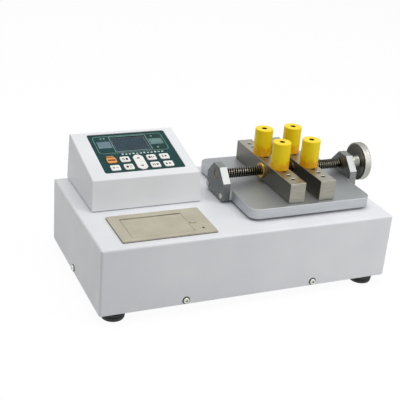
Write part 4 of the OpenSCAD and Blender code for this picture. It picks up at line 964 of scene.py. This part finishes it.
KEY_X, KEY_Y, PITCH_X, PITCH_Y = 47.8, 18.0, 16.3, 15.7    # middle of the arrow key, and the keys' pitches
KEY_HALF_X, KEY_HALF_Y, ARROW_HALF_X, ARROW_HALF_Y = 5.75, 5.4, 6.25, 15
KEY_GAP, KEY_SHADOW_LINE = 0.3, 0.5                               # film between a key and its painted shadow line, and that line's width
SIGN_WIDER, SIGN_TALLER = 1.3, 1.45
KEY_CENTRES = {    # columns, and rows in half pitches, from the middle of the arrow key
    "orange_key": (-2, 1), "upper_key_2": (-1, 1), "upper_key_3": (1, 1), "upper_key_4": (2, 1),
    "lower_key_1": (-2, -1), "lower_key_2": (-1, -1), "lower_key_3": (1, -1), "lower_key_4": (2, -1),
}
KEY_SIGNS = {
    "upper_key_2": [bar(-2.8, 0.9, -0.4, 1.5), bar(-2.8, -0.3, -0.4, 0.3), bar(-2.8, -1.5, -0.4, -0.9),
                    bar(0.6, -1.5, 2.6, 1.5)],
    "upper_key_3": [bar(-2.9, -1.4, -1.0, 1.4), bar(-0.2, -1.4, 0.6, 1.4), bar(1.4, -0.4, 2.9, 0.4)],
    "upper_key_4": [bar(-2.8, -1.5, -0.6, -0.9), bar(-2.8, 0.9, -0.6, 1.5), bar(-2.0, -0.9, -1.4, 0.9),
                    [(0.4, -1.5), (2.8, 0), (0.4, 1.5)]],
    "lower_key_1": [bar(-2.8, -0.3, -0.6, 0.3), bar(-2.0, -1.3, -1.4, 1.3), bar(0.5, -0.3, 2.7, 0.3)],
    "lower_key_2": [bar(-2.6, -1.3, -0.4, 1.3), bar(0.5, 0.6, 2.7, 1.2), bar(0.5, -1.2, 2.7, -0.6)],
    "lower_key_3": [bar(-2.8, -1.2, -2.0, 1.2), bar(-1.2, -1.2, -0.4, 1.2), bar(0.6, -0.9, 2.8, 0.9)],
    "lower_key_4": [[(-2.8, -1.4), (-0.4, 0), (-2.8, 1.4)], [(0.2, -1.4), (2.6, 0), (0.2, 1.4)]],
}


def key_middle(key):
    """Middle of a square key, in millimetres on the sloping face."""
    column, row = KEY_CENTRES[key]
    return KEY_X + column * PITCH_X, KEY_Y + row * PITCH_Y / 2


def sign_on(key, shapes, ink):
    """Prints flat shapes on a square key."""
    x, y = key_middle(key)

    def draw(bm, place):
        for shape in shapes:
            slab(bm, [(x + SIGN_WIDER * px, y + SIGN_TALLER * py) for px, py in shape], 0, INK, place)
    printed(key + "_sign", ink, key, draw, KEY_TOP)


for key, shapes in KEY_SIGNS.items():
    sign_on(key, shapes, "dark_ink_and_shadow")
sign_on("orange_key", [bar(-3.5, -1.0, 3.5, 1.0)], "red_ink")


def draw_key_shadow_lines(bm, place):
    """Dark lines on the film round the keys, a painted shadow of the raised keys."""
    reach_x, reach_y = KEY_HALF_X + KEY_GAP + KEY_SHADOW_LINE, KEY_HALF_Y + KEY_GAP + KEY_SHADOW_LINE
    for key in KEY_CENTRES:
        x, y = key_middle(key)
        frame_line(bm, x - reach_x, y - reach_y, x + reach_x, y + reach_y, 2.6, KEY_SHADOW_LINE, 0, INK, place)
    outer, inner = (cut_outline(KEY_X - ARROW_HALF_X - out, KEY_Y - ARROW_HALF_Y - out,
                                KEY_X + ARROW_HALF_X + out, KEY_Y + ARROW_HALF_Y + out, corner)
                    for out, corner in ((KEY_GAP + KEY_SHADOW_LINE, 4.4), (KEY_GAP, 4.1)))
    closed_line(bm, outer, inner, 0, INK, place)


printed("key_shadow_lines", "dark_ink_and_shadow", "base", draw_key_shadow_lines)


def draw_arrows(bm, place):
    """Up and down arrows of the rocking key."""
    for way, y in ((1, KEY_Y + 8.2), (-1, KEY_Y - 8.2)):
        points = [(KEY_X - 2.4, y - way * 1.3), (KEY_X + 2.4, y - way * 1.3), (KEY_X, y + way * 1.7)]
        slab(bm, points if way > 0 else list(reversed(points)), 0, INK, place)


printed("arrow_signs", "dark_ink_and_shadow", "arrow_key", draw_arrows, KEY_TOP)
